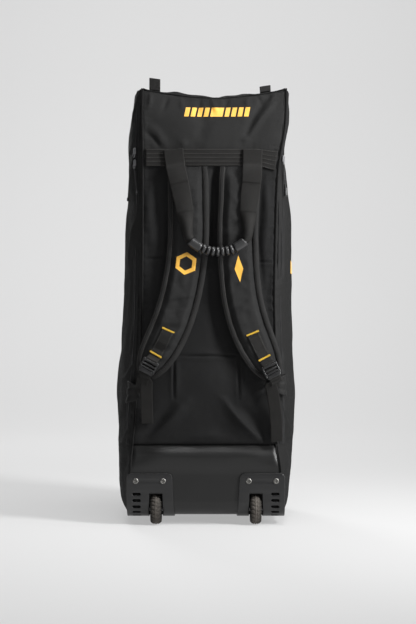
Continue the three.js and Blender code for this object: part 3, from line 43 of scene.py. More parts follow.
# Sizes of the part, in millimetres
HALF_WIDTH = 197
DEPTH = 335
HEIGHT = 897
FRONT_HALF = 150
GROUND = 19
BACK_PLANE = 151.7
EDGE = 31
KICK = 149
YOKE = 753
SAG = 15
DOME = 22
BAND = 36
BAND_LOW = YOKE - BAND / 2
BAND_HIGH = YOKE + BAND / 2
STRAP_DROP = 440
HANDLE_DROP = 217
WHEEL_X = 105
WHEEL_RADIUS = 32
AXLE_Y = 18 - BACK_PLANE
WHEEL_GAP = 17.5
STRAP_WIDE, STRAP_THICK = 85, 13
HANDLE_WIDE = 40
# The photo's scale in millimetres, and where its middle and its floor are
PIXEL = 2.1
MIDDLE_PX, MIDDLE_X = 208, 4.5
FLOOR_PX = 525.2

# Sections of the body: up, seams and fullest points of the two sides, back, front, crown, belly
SECTIONS = np.array([
    (0.0, 0.822, 0.822, 0.945, 0.9, 0, 0.97, 0, 0.01),
    (0.042, 0.824, 0.812, 0.955, 0.926, 0, 0.98, 0, 0.015),
    (0.112, 0.806, 0.789, 0.974, 0.962, 0, 0.99, 0, 0.02),
    (0.166, 0.787, 0.755, 0.993, 0.98, 0.024, 1, 0.004, 0.025),
    (0.193, 0.771, 0.751, 1.0, 0.99, 0.02, 1, 0.014, 0.03),
    (0.268, 0.744, 0.744, 1.0, 1.0, 0.006, 0.99, 0.034, 0.035),
    (0.321, 0.717, 0.738, 0.99, 0.99, 0.0, 0.985, 0.04, 0.04),
    (0.421, 0.686, 0.733, 0.949, 0.973, 0.006, 0.97, 0.022, 0.04),
    (0.506, 0.68, 0.726, 0.926, 0.957, 0.01, 0.95, 0.014, 0.04),
    (0.687, 0.672, 0.74, 0.9, 0.946, 0.01, 0.91, 0.012, 0.035),
    (0.815, 0.672, 0.765, 0.853, 0.868, 0.009, 0.87, 0.012, 0.03),
    (0.857, 0.672, 0.796, 0.847, 0.84, 0.01, 0.85, 0.015, 0.03),
    (0.928, 0.68, 0.846, 0.802, 0.873, 0.036, 0.81, 0.026, 0.025),
    (1.0, 0.683, 0.86, 0.751, 0.9, 0.09, 0.74, 0.012, 0.015),
])

# Main folds, as in the part: wall, u, v, turn, long, wide, high
FOLDS = [
    ("back", 0.12, 0.9, -38, 0.05, 0.022, -0.006),
    ("back", 0.84, 0.91, 62, 0.06, 0.028, -0.016),
    ("back", 0.5, 0.96, 90, 0.03, 0.05, -0.012),
    ("back", 0.78, 0.21, -50, 0.06, 0.022, 0.014),
    ("back", 0.2, 0.21, 50, 0.06, 0.024, 0.01),
    ("right", 0.3, 0.72, 70, 0.08, 0.03, -0.022),
    ("right", 0.5, 0.35, -60, 0.1, 0.03, -0.02),
    ("right", 0.45, 0.9, 75, 0.07, 0.035, -0.03),
    ("left", 0.62, 0.78, 65, 0.08, 0.03, -0.022),
    ("left", 0.5, 0.42, -65, 0.1, 0.03, -0.02),
    ("left", 0.6, 0.22, 60, 0.08, 0.026, -0.018),
    ("front", 0.3, 0.8, 30, 0.1, 0.035, -0.02),
    ("front", 0.68, 0.6, -35, 0.1, 0.035, -0.018),
    ("front", 0.4, 0.3, 15, 0.12, 0.035, -0.018),
    ("top", 0.5, 0.4, 90, 0.12, 0.022, -0.035),
]

# Straps: x, down, wide, thick, lift
STRAP_LEFT = [
    (-0.195, 0.0, 0.97, 0.42, 0.0), (-0.191, 0.057, 1.0, 0.8, 0.001), (-0.187, 0.159, 1.0, 1.0, 0.004),
    (-0.184, 0.302, 1.0, 1.0, 0.01), (-0.206, 0.455, 1.0, 1.0, 0.022), (-0.259, 0.597, 1.0, 1.0, 0.034),
    (-0.344, 0.732, 1.0, 1.0, 0.042), (-0.456, 0.85, 0.97, 0.96, 0.044), (-0.54, 0.92, 0.86, 0.9, 0.042),
    (-0.595, 0.968, 0.66, 0.84, 0.04), (-0.626, 0.998, 0.42, 0.7, 0.039),
]
STRAP_RIGHT = [
    (0.364, 0.0, 0.97, 0.42, 0.0), (0.358, 0.057, 1.0, 0.8, 0.001), (0.351, 0.159, 1.0, 1.0, 0.004),
    (0.336, 0.302, 1.0, 1.0, 0.01), (0.343, 0.455, 1.0, 1.0, 0.022), (0.37, 0.597, 1.0, 1.0, 0.034),
    (0.43, 0.726, 1.0, 1.0, 0.042), (0.515, 0.832, 0.97, 0.96, 0.044), (0.608, 0.92, 0.86, 0.9, 0.042),
    (0.668, 0.972, 0.66, 0.84, 0.04), (0.703, 1.005, 0.42, 0.7, 0.039),
]
# Haul handle: x, down, lift, wide, thick
HANDLE = [
    (-0.346, 0.006, 0.0105, 1.0, 1.0), (-0.334, 0.101, 0.0105, 1.0, 1.0), (-0.325, 0.152, 0.014, 1.0, 1.0),
    (-0.318, 0.19, 0.03, 1.0, 1.0), (-0.308, 0.234, 0.038, 0.97, 1.0), (-0.281, 0.337, 0.045, 0.96, 1.0),
    (-0.249, 0.473, 0.053, 0.93, 1.0), (-0.221, 0.61, 0.064, 0.84, 1.1), (-0.203, 0.726, 0.077, 0.6, 1.5),
    (-0.194, 0.79, 0.085, 0.4, 1.9), (-0.186, 0.843, 0.088, 0.31, 2.0), (-0.165, 0.887, 0.088, 0.31, 2.0),
    (-0.115, 0.93, 0.088, 0.31, 2.0), (-0.02, 0.975, 0.088, 0.31, 2.0), (0.125, 1.0, 0.088, 0.31, 2.0),
    (0.265, 0.98, 0.088, 0.31, 2.0), (0.362, 0.936, 0.088, 0.31, 2.0), (0.418, 0.893, 0.088, 0.31, 2.0),
    (0.44, 0.846, 0.088, 0.31, 2.0), (0.446, 0.79, 0.085, 0.4, 1.9), (0.447, 0.726, 0.077, 0.6, 1.5),
    (0.45, 0.61, 0.064, 0.84, 1.1), (0.464, 0.473, 0.053, 0.95, 1.0), (0.482, 0.337, 0.045, 0.98, 1.0),
    (0.491, 0.234, 0.038, 1.0, 1.0), (0.494, 0.19, 0.03, 1.0, 1.0), (0.495, 0.152, 0.014, 1.0, 1.0),
    (0.496, 0.101, 0.0105, 1.0, 1.0), (0.497, 0.006, 0.0105, 1.0, 1.0),
]
# Buckle station, anchor height, and the loose end: x, down, lift, turn
RIG_LEFT = (0.875, 1.082, [(-0.622, 1.02, 0.085, -16), (-0.626, 1.06, 0.066, -4), (-0.626, 1.12, 0.042, 0),
                           (-0.625, 1.18, 0.026, 0), (-0.624, 1.228, 0.018, 0)])
RIG_RIGHT = (0.9, 1.045, [(0.69, 1.03, 0.085, 14), (0.705, 1.08, 0.066, 10), (0.73, 1.15, 0.05, 9),
                          (0.756, 1.23, 0.04, 9), (0.778, 1.315, 0.036, 8)])
# Webbing round the buckle's bars: along the strap, away from the bag
PATCH_ROUTE = [(-0.59, -0.35), (-0.53, 0.45), (-0.515, 1.0), (-0.47, 1.17), (-0.385, 1.17), (-0.325, 0.95),
               (-0.305, 0.5), (-0.325, 0.03), (-0.385, -0.16), (-0.48, -0.16)]
ADJUSTER_ROUTE = [(0.92, -0.78), (0.45, -0.72), (0.0, -0.72), (-0.15, -0.64), (-0.205, -0.08),
                  (-0.215, 0.5), (-0.2, 1.12), (-0.14, 1.56), (-0.03, 1.66), (0.2, 1.66), (0.46, 1.66),
                  (0.62, 1.45)]
ZIP_AT = 21
LOCK_LENGTH, LOCK_THICK, LOCK_WIDTH, LOCK_LIFT = 31, 3.4, 35, 4.6
WEB, WEB_THICK = 25, 1.6


def X(px):
    """Millimetres across, from the photo's pixels."""
    return (px - MIDDLE_PX) * PIXEL + MIDDLE_X


def Z(py):
    """Millimetres above the floor, from the photo's pixels."""
    return (FLOOR_PX - py) * PIXEL


def smooth(low, high, value):
    t = np.clip((value - low) / (high - low), 0, 1)
    return t * t * (3 - 2 * t)


def curve(places, values, at):
    """A smooth curve through a table's rows that never overshoots them."""
    x, y = np.asarray(places, float), np.asarray(values, float)
    at = np.clip(at, x[0], x[-1])
    rise = np.diff(y) / np.diff(x)
    slope = np.concatenate([[rise[0]], np.zeros(len(x) - 2), [rise[-1]]])
    a, b = rise[:-1], rise[1:]
    same = a * b > 0
    slope[1:-1] = np.where(same, 2 * a * b / np.where(same, a + b, 1), 0)
    i = np.clip(np.searchsorted(x, at, side="right") - 1, 0, len(x) - 2)
    h = x[i + 1] - x[i]
    t = (at - x[i]) / h
    start = y[i] * (1 + 2 * t) * (1 - t) ** 2 + slope[i] * h * t * (1 - t) ** 2
    return start + y[i + 1] * t * t * (3 - 2 * t) + slope[i + 1] * h * t * t * (t - 1)


def noise(a, b, cell, seed):
    """Smooth noise from -1 to 1, the same on every run."""
    i, j = np.floor(a / cell), np.floor(b / cell)
    f, g = a / cell - i, b / cell - j
    f, g = f * f * (3 - 2 * f), g * g * (3 - 2 * g)

    def lattice(p, q):
        h = np.sin(p * 127.1 + q * 311.7 + seed * 74.7) * 43758.5453
        return 2 * (h - np.floor(h)) - 1

    low = lattice(i, j) * (1 - f) + lattice(i + 1, j) * f
    high = lattice(i, j + 1) * (1 - f) + lattice(i + 1, j + 1) * f
    return low * (1 - g) + high * g


def fullness(u):
    """How far a wall bulges: nothing at its seams, and 1 in its middle."""
    return np.maximum(np.sin(np.pi * u), 0) ** 0.75


def section(up):
    """Seams, sides, back, front, crown and belly at a height, in millimetres."""
    at = [curve(SECTIONS[:, 0], SECTIONS[:, k], np.asarray(up, float) / HEIGHT) for k in range(1, 9)]
    return (-at[0] * HALF_WIDTH, at[1] * HALF_WIDTH, -at[2] * HALF_WIDTH, at[3] * HALF_WIDTH,
            at[4] * DEPTH - BACK_PLANE, at[5] * DEPTH - BACK_PLANE, at[6] * DEPTH, at[7] * DEPTH)


def main_folds(wall, u, v):
    width = DEPTH if wall in ("left", "right") else 2 * FRONT_HALF
    height = DEPTH if wall == "top" else HEIGHT
    total = np.zeros(np.broadcast(u, v).shape)
    for where, fu, fv, turn, long, wide, high in FOLDS:
        if where == wall:
            a, b = (u - fu) * width, (v - fv) * height
            c, s = math.cos(math.radians(turn)), math.sin(math.radians(turn))
            p, q = (a * c + b * s) / (long * HEIGHT), (b * c - a * s) / (wide * HEIGHT)
            total = total + high * DEPTH * np.exp(-p * p - q * q)
    return total * fullness(u) * (fullness(v) if wall == "top" else 1)


def ridge(a, b, path, wide, high, lean=1.0):
    """Height of a fold along a path, with one flank "lean" times as wide as the other."""
    total = np.zeros(np.broadcast(a, b).shape)
    lengths = [math.dist(p, q) for p, q in zip(path, path[1:])]
    best = np.full(total.shape, 1e9)
    run = 0.0
    for (p, q), length in zip(zip(path, path[1:]), lengths):
        dx, dz = (q[0] - p[0]) / length, (q[1] - p[1]) / length
        s = np.clip((a - p[0]) * dx + (b - p[1]) * dz, 0, length)
        ex, ez = a - p[0] - s * dx, b - p[1] - s * dz
        d = np.hypot(ex, ez)
        side = ex * -dz + ez * dx
        w = np.where(side > 0, wide * lean, wide)
        taper = np.sin(np.pi * np.clip((run + s) / sum(lengths), 0.04, 0.96)) ** 0.6
        value = high * taper * np.exp(-((d / w) ** 2))
        total = np.where(d < best, value, total)
        best = np.minimum(best, d)
        run += length
    return total


# Smaller folds of the back, by the photo's pixels: path, width, height, and a lean other than 1
BACK_FOLDS = [
    ([(145, 131), (154, 138), (161, 148)], 6, -1.7, 0.6), ([(147, 124), (157, 132), (166, 146)], 8, 1.6),
    ([(277, 98), (262, 117), (247, 138)], 9, 3.4, 0.7), ([(268, 95), (254, 117), (243, 142)], 8, -3.2),
    ([(246, 134), (243, 146)], 8, 1.3), ([(196, 103), (203, 124), (199, 144)], 14, -1.8),
    ([(180, 140), (186, 147)], 9, 1.6), ([(151, 92), (149, 104)], 5, 1.8),
    ([(168, 95), (163, 109)], 5, -1.7), ([(180, 96), (183, 108)], 6, 1.3),
    ([(200, 97), (198, 112)], 5, -1.4), ([(212, 98), (217, 112)], 5, 1.8),
    ([(228, 97), (224, 108)], 5, -1.5), ([(246, 96), (248, 106)], 5, 1.3),
    ([(258, 94), (262, 104)], 4, -1.4), ([(276, 93), (270, 100)], 4, 1.4),
    ([(224, 399), (238, 417), (262, 441)], 9, 4.6, 0.55),
    ([(236, 402), (252, 418), (266, 436)], 13, -3.6), ([(188, 402), (172, 420), (150, 441)], 11, 2.8),
    ([(176, 399), (161, 418), (147, 436)], 13, -3.2), ([(176, 440), (208, 436), (240, 441)], 13, 1.8),
    ([(150, 176), (149, 215), (152, 250)], 9, 1.6), ([(160, 172), (158, 215), (161, 254)], 8, -1.8),
    ([(148, 262), (151, 300), (147, 336)], 9, 1.3), ([(266, 178), (268, 215), (265, 256)], 8, 1.5),
    ([(270, 266), (267, 300), (271, 330)], 8, -1.3), ([(206, 300), (208, 330), (207, 350)], 16, 1.2),
    ([(214.3, 160), (214.6, 215), (213, 268)], 8, -5.5), ([(166, 180), (168, 250), (160, 296)], 7, -2.4),
    ([(262, 176), (258, 240), (264, 300)], 7, -2.4),
]
# Sewn lines of the back: path, width, depth
BACK_SEAMS = [
    ([(176, 355.6), (238.5, 355.6)], 2.6, -3.6),
    ([(174.2, 357), (174.2, 400)], 2.4, -4.6),
    ([(239, 357), (239, 400)], 2.4, -5.0),
    ([(142, 258), (166, 258)], 2.2, -2.4),
    ([(257, 262), (275, 262)], 2.2, -2.4),
]
# Folds of the gussets, by distance from the back seam and height, in millimetres
GUSSET_FOLDS = {
    "left": [
        ([(8, 905), (30, 860), (62, 835)], 9, 5.0, 0.6), ([(4, 872), (26, 838), (40, 800)], 8, -4.5),
        ([(10, 800), (38, 770), (80, 760)], 10, -4.0, 0.6), ([(6, 640), (40, 600), (70, 540)], 12, 3.2, 0.7),
        ([(10, 560), (34, 500), (38, 440)], 12, -3.2), ([(6, 330), (44, 290), (86, 282)], 10, 4.4, 0.6),
        ([(4, 262), (40, 216), (88, 196)], 12, -4.2, 0.8), ([(8, 190), (50, 150), (96, 140)], 11, 3.8, 0.6),
        ([(10, 130), (48, 96), (80, 90)], 11, -3.2), ([(12, 420), (30, 380), (34, 330)], 9, 3.0)],
    "right": [
        ([(8, 900), (34, 850), (40, 800)], 9, 4.2, 0.7), ([(4, 850), (20, 800), (18, 760)], 8, -4.0),
        ([(16, 720), (22, 640), (14, 560)], 9, 4.0, 0.6), ([(30, 700), (42, 620), (40, 540)], 10, -3.6),
        ([(8, 520), (40, 470), (60, 400)], 12, 3.0, 0.7), ([(6, 330), (46, 300), (80, 310)], 11, -3.6, 0.8),
        ([(8, 240), (44, 196), (84, 176)], 10, 4.6, 0.6), ([(6, 206), (46, 160), (90, 150)], 10, -4.0),
        ([(14, 150), (52, 110), (84, 100)], 11, 3.2)],
}


def back_detail(x, z):
    """Smaller folds and sewn lines of the back."""
    total = np.zeros(np.broadcast(x, z).shape)
    for path, wide, high, *lean in BACK_FOLDS:
        total = total + ridge(x, z, [(X(a), Z(b)) for a, b in path], wide, 1.7 * high, *lean)
    for path, wide, high in BACK_SEAMS:
        line = [(X(a), Z(b)) for a, b in path]
        total = total + ridge(x, z, line, wide, 1.4 * high) + ridge(x, z, line, 9, -0.7 * high)
    return total


def soft(a, b, seed, size=1.0):
    """Unevenness of slack cloth, from broad to fine."""
    return size * (2.0 * noise(a, b, 90, seed) + 1.2 * noise(a, b * 0.7, 38, seed + 1)
                   + 0.42 * noise(a, b * 0.8, 15, seed + 2) + 0.09 * noise(a, b, 6, seed + 3))


def puckers(along, away, seed, high=1.6, reach=14):
    """Short gathers square to a seam."""
    wave = noise(along, along * 0, 7.5, seed) + 0.6 * noise(along, along * 0, 3.6, seed + 5)
    return high * wave * np.exp(-away / reach) * smooth(0, 2.5, away)


def wall_points(wall, u, up, tuck=0.0, detail=True):
    """Points of a wall of the bag, with its folds, gathers and rolled edges, in millimetres."""
    u, up, tuck = np.broadcast_arrays(np.asarray(u, float), np.asarray(up, float), np.asarray(tuck, float))
    seam_l, seam_r, side_l, side_r, back, front, crown, belly = section(up)
    bulge = fullness(u)
    tuck_in = EDGE * (1 - np.cos(tuck))
    back, front = back + tuck_in, front - tuck_in
    out = main_folds(wall, u, up / HEIGHT) * np.cos(tuck)
    over = np.maximum(up - YOKE, 0) / (HEIGHT - YOKE)
    droop = 6.5 * over ** 2 * (1 - 0.8 * bulge)
    sag = SAG * bulge * over ** 2 - droop
    z = GROUND + up
    span = 2 * FRONT_HALF if wall in ("back", "front") else DEPTH
    beside = np.minimum(u, 1 - u) * span
    near_top = HEIGHT - up
    if detail:
        roll = -1.5 * np.exp(-((beside / 3.2) ** 2)) - 1.2 * np.exp(-((near_top / 2.6) ** 2))
        gather = puckers(up, beside, {"back": 3, "front": 9, "left": 14, "right": 21}[wall])
        gather = gather + puckers(u * span, near_top, 33, 0.9, 16)
        level = soft(u * span, up, {"back": 41, "front": 47, "left": 53, "right": 59}[wall])
        fade = smooth(0, 14, beside) * np.cos(tuck)
        for path, wide, high, *lean in GUSSET_FOLDS.get(wall, ()):
            inward = (u if wall == "right" else 1 - u) * DEPTH
            level = level + ridge(inward, up, path, wide, high, *lean)
        out = out + roll * np.cos(tuck) + (level * fade + gather) * (1 if wall != "back" else 0.7)
    if wall == "back":
        x = seam_l + (seam_r - seam_l) * u
        if detail:
            coated = smooth(KICK + 2, KICK - 6, up)
            line = np.abs(up - KICK)
            fine = back_detail(x, z - sag) * smooth(0, 8, beside) * (1 - coated)
            out = out * (1 - 0.65 * coated * smooth(0, 6, beside)) + fine
            out = out - 3.2 * np.exp(-((line / 3.0) ** 2))
            out = out + puckers(x, np.abs(up - BAND_HIGH), 61, 0.6, 9)
            rolled = smooth(-2, 24, line) * (0.3 * smooth(0, 10, beside) + 0.7 * smooth(-6, 70, beside))
            out = out + coated * (11.5 * rolled - 2.0 + 1.6 * noise(x, up * 0.8, 75, 67) * rolled)
            plate = smooth(162, 104, z)
            out = out * (1 - plate) - 0.8 * plate
        return np.stack([x, back - crown * np.sin(np.pi * u) - out, z - sag], -1)
    if wall == "front":
        x = FRONT_HALF - 2 * FRONT_HALF * u
        return np.stack([x, front + belly * bulge + out, z - sag], -1)
    z = z + droop
    full = bulge * (0.15 + 0.85 * np.cos(tuck))
    from_back = (u if wall == "right" else 1 - u) * DEPTH
    if wall == "left":
        out = out + 8.5 * smooth(650, 780, up) * smooth(0, 45, from_back) * smooth(230, 60, from_back)
    else:
        out = out + 5.5 * smooth(430, 520, up) * smooth(0, 50, from_back) * smooth(230, 60, from_back)
    if wall == "right":
        flat = seam_r + (FRONT_HALF - seam_r) * u
        return np.stack([flat + (side_r - flat) * full + out, back + (front - back) * u, z], -1)
    flat = -FRONT_HALF + (seam_l + FRONT_HALF) * u
    return np.stack([flat + (side_l - flat) * full - out, front + (back - front) * u, z], -1)


def unit(v):
    return v / np.maximum(np.linalg.norm(v, axis=-1, keepdims=True), 1e-9)


def on_back(x, up, detail=False):
    """Point and outward normal of the back at x and a height."""
    x, up = np.broadcast_arrays(np.asarray(x, float), np.asarray(up, float))

    def at(px, pup):
        seam_l, seam_r = section(pup)[:2]
        return wall_points("back", np.clip((px - seam_l) / (seam_r - seam_l), 0, 1), pup, 0, detail)

    across = at(x + 3, up) - at(x - 3, up)
    rise = at(x, up + 3) - at(x, up - 3)
    return at(x, up), unit(np.cross(across, rise))


def on_gusset(wall, distance, up, detail=False):
    """Point and outward normal of a gusset, at a distance from its back seam."""
    distance, up = np.broadcast_arrays(np.asarray(distance, float), np.asarray(up, float))

    def at(d, pup):
        u = d / DEPTH if wall == "right" else 1 - d / DEPTH
        return wall_points(wall, u, pup, 0, detail)

    across = at(distance + 2, up) - at(distance - 2, up)
    rise = at(distance, up + 2) - at(distance, up - 2)
    normal = unit(np.cross(across, rise))
    return at(distance, up), normal if wall == "right" else -normal


# Materials
class Look:
    """A material's principled shader and the nodes that feed it."""

    def __init__(self, name, color, rough, **inputs):
        self.material = bpy.data.materials.new(name)
        self.material.use_nodes = True
        self.nodes, self.links = self.material.node_tree.nodes, self.material.node_tree.links
        self.color = color
        self.inputs = self.nodes["Principled BSDF"].inputs
        self.inputs["Base Color"].default_value = (*color, 1)
        self.inputs["Roughness"].default_value = rough
        for key, value in inputs.items():
            self.inputs[key.replace("_", " ")].default_value = value

    def node(self, kind, output, values, **settings):
        """Output of a new node; its inputs take numbers or other outputs."""
        node = self.nodes.new("ShaderNode" + kind)
        for key, value in settings.items():
            setattr(node, key, value)
        for key, value in values.items():
            if isinstance(value, bpy.types.NodeSocket):
                self.links.new(value, node.inputs[key])
            else:
                node.inputs[key].default_value = value
        return node.outputs[output]

    def math(self, operation, *values):
        return self.node("Math", 0, dict(enumerate(values)), operation=operation)

    def wave(self, source, pitch):
        return self.math("SINE", self.math("MULTIPLY", source, 2 * math.pi / pitch))

    def noise(self, vector, scale, detail=3):
        return self.node("TexNoise", "Fac",
                         {"Vector": vector, "Scale": scale, "Detail": detail, "Roughness": 0.6})

    def cloth_uv(self):
        """The piece's own UVs, which are in metres, and their two directions."""
        uv = self.node("UVMap", "UV", {}, uv_map="UVMap")
        split = self.node("SeparateXYZ", 0, {0: uv}).node.outputs
        return uv, split[0], split[1]

    def tint(self, factor, low, high):
        """Base colour that varies about its own value with a factor."""
        ramp = self.nodes.new("ShaderNodeValToRGB")
        for element, place, share in zip(ramp.color_ramp.elements, (0.3, 0.7), (low, high)):
            element.position = place
            element.color = (*[min(c * share, 1) for c in self.color], 1)
        self.links.new(factor, ramp.inputs["Fac"])
        self.links.new(ramp.outputs["Color"], self.inputs["Base Color"])

    def scale_color(self, factor):
        color = self.inputs["Base Color"]
        values = {0: color.links[0].from_socket, "Scale": factor}
        self.links.new(self.node("VectorMath", "Vector", values, operation="SCALE"), color)

    def bump(self, *heights):
        """Stacked bumps: each is a height, its depth in metres and its strength."""
        last = {}
        for height, distance, strength in heights:
            values = {"Height": height, "Distance": distance, "Strength": strength, **last}
            last = {"Normal": self.node("Bump", "Normal", values)}
        self.links.new(last["Normal"], self.inputs["Normal"])


def fabric(name, color, rough, pitch, weave, dust, sheen, specular):
    """Plain weave. Its base colour is painted darker where it is seen at a grazing angle: painted shade, set
    by where the camera stands.
    """
    look = Look(name, color, rough, Sheen_Weight=sheen, Sheen_Roughness=0.5, Specular_IOR_Level=specular)
    uv, across, along = look.cloth_uv()
    woven = look.math("MULTIPLY", look.wave(across, pitch * MM), look.wave(along, pitch * MM))
    slub = look.noise(uv, 420, 2)
    mix = look.math("ADD", look.math("MULTIPLY", look.noise(uv, 9, 4), 0.6),
                    look.math("MULTIPLY", slub, 0.4))
    look.tint(mix, 1 - dust, 1 + dust)
    # Painted shade: the base colour is scaled down by up to three quarters towards a grazing angle.
    facing = look.node("LayerWeight", "Facing", {"Blend": 0.5})
    look.scale_color(look.math("SUBTRACT", 1.0, look.math("MULTIPLY", facing, 0.75)))
    look.bump((woven, 0.00022, weave), (slub, 0.0002, 0.25))
    return look.material


def ribbed(name, color, rough, rib=1.9, cross=1.0, depth=0.6, specular=0.4):
    """Ribbed webbing: ribs run along it, and finer weft crosses them."""
    look = Look(name, color, rough, Sheen_Weight=0.02, Sheen_Roughness=0.4, Specular_IOR_Level=specular)
    uv, across, along = look.cloth_uv()
    ribs = look.math("ABSOLUTE", look.wave(across, 2 * rib * MM))
    weft = look.wave(along, cross * MM)
    look.tint(look.noise(uv, 25), 0.8, 1.25)
    look.bump((ribs, 0.0004, depth), (weft, 0.0002, 0.45), (look.noise(uv, 600, 2), 0.0002, 0.3))
    return look.material


def moulded(name, color, rough, grain, depth, specular=0.5, coat=0.0, spread=0.15, painted_shoulder_shade=False):
    """Moulded plastic or coated cloth with a fine grain; a tyre's tread is painted paler in its middle and
    darker towards its shoulders: painted shade.
    """
    look = Look(name, color, rough, Specular_IOR_Level=specular, Coat_Weight=coat, Coat_Roughness=0.3)
    where = look.node("TexCoord", "Object", {})
    look.tint(look.noise(where, 14, 4), 1 - spread, 1 + spread)
    if painted_shoulder_shade:
        # Painted shade: the tread's colour is scaled from 1.3 in its middle down to 0.3 at its shoulders,
        # where the crown turns from the light.
        beside = look.math("ABSOLUTE", look.node("SeparateXYZ", 0, {0: where}))
        off_middle = look.math("ABSOLUTE", look.math("SUBTRACT", beside, WHEEL_X * MM))
        look.scale_color(look.node("MapRange", "Result", {
            "Value": off_middle, "From Min": 0.003, "From Max": 0.0105, "To Min": 1.3, "To Max": 0.3}))
    varied = {"Value": look.noise(where, 40, 4), "To Min": rough - 0.07, "To Max": rough + 0.09}
    look.links.new(look.node("MapRange", "Result", varied), look.inputs["Roughness"])
    look.bump((look.noise(where, grain), 0.00025, depth))
    return look.material


CANVAS = fabric("canvas", (0.0235, 0.0234, 0.0232), 0.8, 1.2, 0.6, 0.2, 0.0, 0.12)
# A darker copy of the canvas for the anchor tabs: painted shade, for the shadow they sit in.
SHADED_TAB_CLOTH = fabric("tab_cloth_painted_shade", (0.014, 0.0138, 0.0135), 0.7, 1.2, 0.6, 0.2, 0.0, 0.25)
PADDING = fabric("padding", (0.0125, 0.0125, 0.0127), 0.75, 0.9, 0.55, 0.2, 0.0, 0.16)
# A lighter copy of the padding fabric for the straps: painted light, lifting them out of the shade they fall
# in.
LIT_STRAP_CLOTH = fabric("strap_cloth_painted_light", (0.0195, 0.0195, 0.0195), 0.75, 0.9, 0.55, 0.2, 0.0, 0.16)
COATED = moulded("coated", (0.0045, 0.0045, 0.0043), 0.46, 1500, 0.3, 0.36, 0.3, 0.1)
WEBBING = ribbed("webbing", (0.0118, 0.0112, 0.0105), 0.68, specular=0.2)
BINDING = ribbed("binding", (0.0135, 0.0132, 0.013), 0.68, 1.1, 0.8, 0.5, 0.2)
CORD = ribbed("cord", (0.009, 0.009, 0.01), 0.42, 0.8, 0.8, 0.5, 0.5)
TAPE = ribbed("tape", (0.017, 0.017, 0.0172), 0.85, 1.0, 0.8, 0.4, 0.1)
COIL = moulded("coil", (0.012, 0.012, 0.013), 0.5, 900, 0.1, 0.3)
GRIP = moulded("grip", (0.022, 0.022, 0.0225), 0.34, 1400, 0.15, 0.6, 0.2)
BUCKLE = moulded("buckle", (0.011, 0.011, 0.0115), 0.3, 1100, 0.1, 0.45, 0.2)
BRACKET = moulded("bracket", (0.0135, 0.0135, 0.0138), 0.32, 1200, 0.22)
# The tyre is painted darker at the shoulders of its tread: painted shade.
TYRE = moulded("tyre", (0.074, 0.066, 0.058), 0.85, 420, 0.8, 0.3, 0.0, 0.5, painted_shoulder_shade=True)
HUB = moulded("hub", (0.03, 0.03, 0.032), 0.45, 900, 0.2)
METAL_WORN = Look("slider_metal_dark", (0.3, 0.3, 0.31), 0.42, Metallic=0.85).material
SCREW = Look("screw_metal", (0.2, 0.195, 0.185), 0.42, Metallic=0.85).material
# A near-black copy of the grip's material for its finger grooves: painted shade in the recesses.
GRIP_GROOVE_SHADE = moulded("groove_painted_shade", (0.004, 0.004, 0.004), 0.7, 1400, 0.1, 0.15)
# Near-black sheets behind the bracket's vents: painted shade, standing for the shadow seen through them.
VENT_SHADE = Look("recess_painted_shade", (0.003, 0.003, 0.003), 0.9, Specular_IOR_Level=0.1).material
AXLE = Look("axle_metal", (0.3, 0.3, 0.31), 0.35, Metallic=0.9).material
THREAD = fabric("thread", (0.075, 0.071, 0.066), 0.6, 0.5, 0.5, 0.2, 0.1, 0.5)
PIPE = ribbed("piping", (0.004, 0.004, 0.004), 0.7, 1.1, 0.8, 0.5, 0.12)
YELLOW = fabric("tack_thread", (0.9, 0.56, 0.03), 0.5, 0.6, 0.8, 0.12, 0.1, 0.5)
GOLD = moulded("print", (0.92, 0.5, 0.075), 0.45, 1800, 0.1, 0.5, 0.05, 0.05)


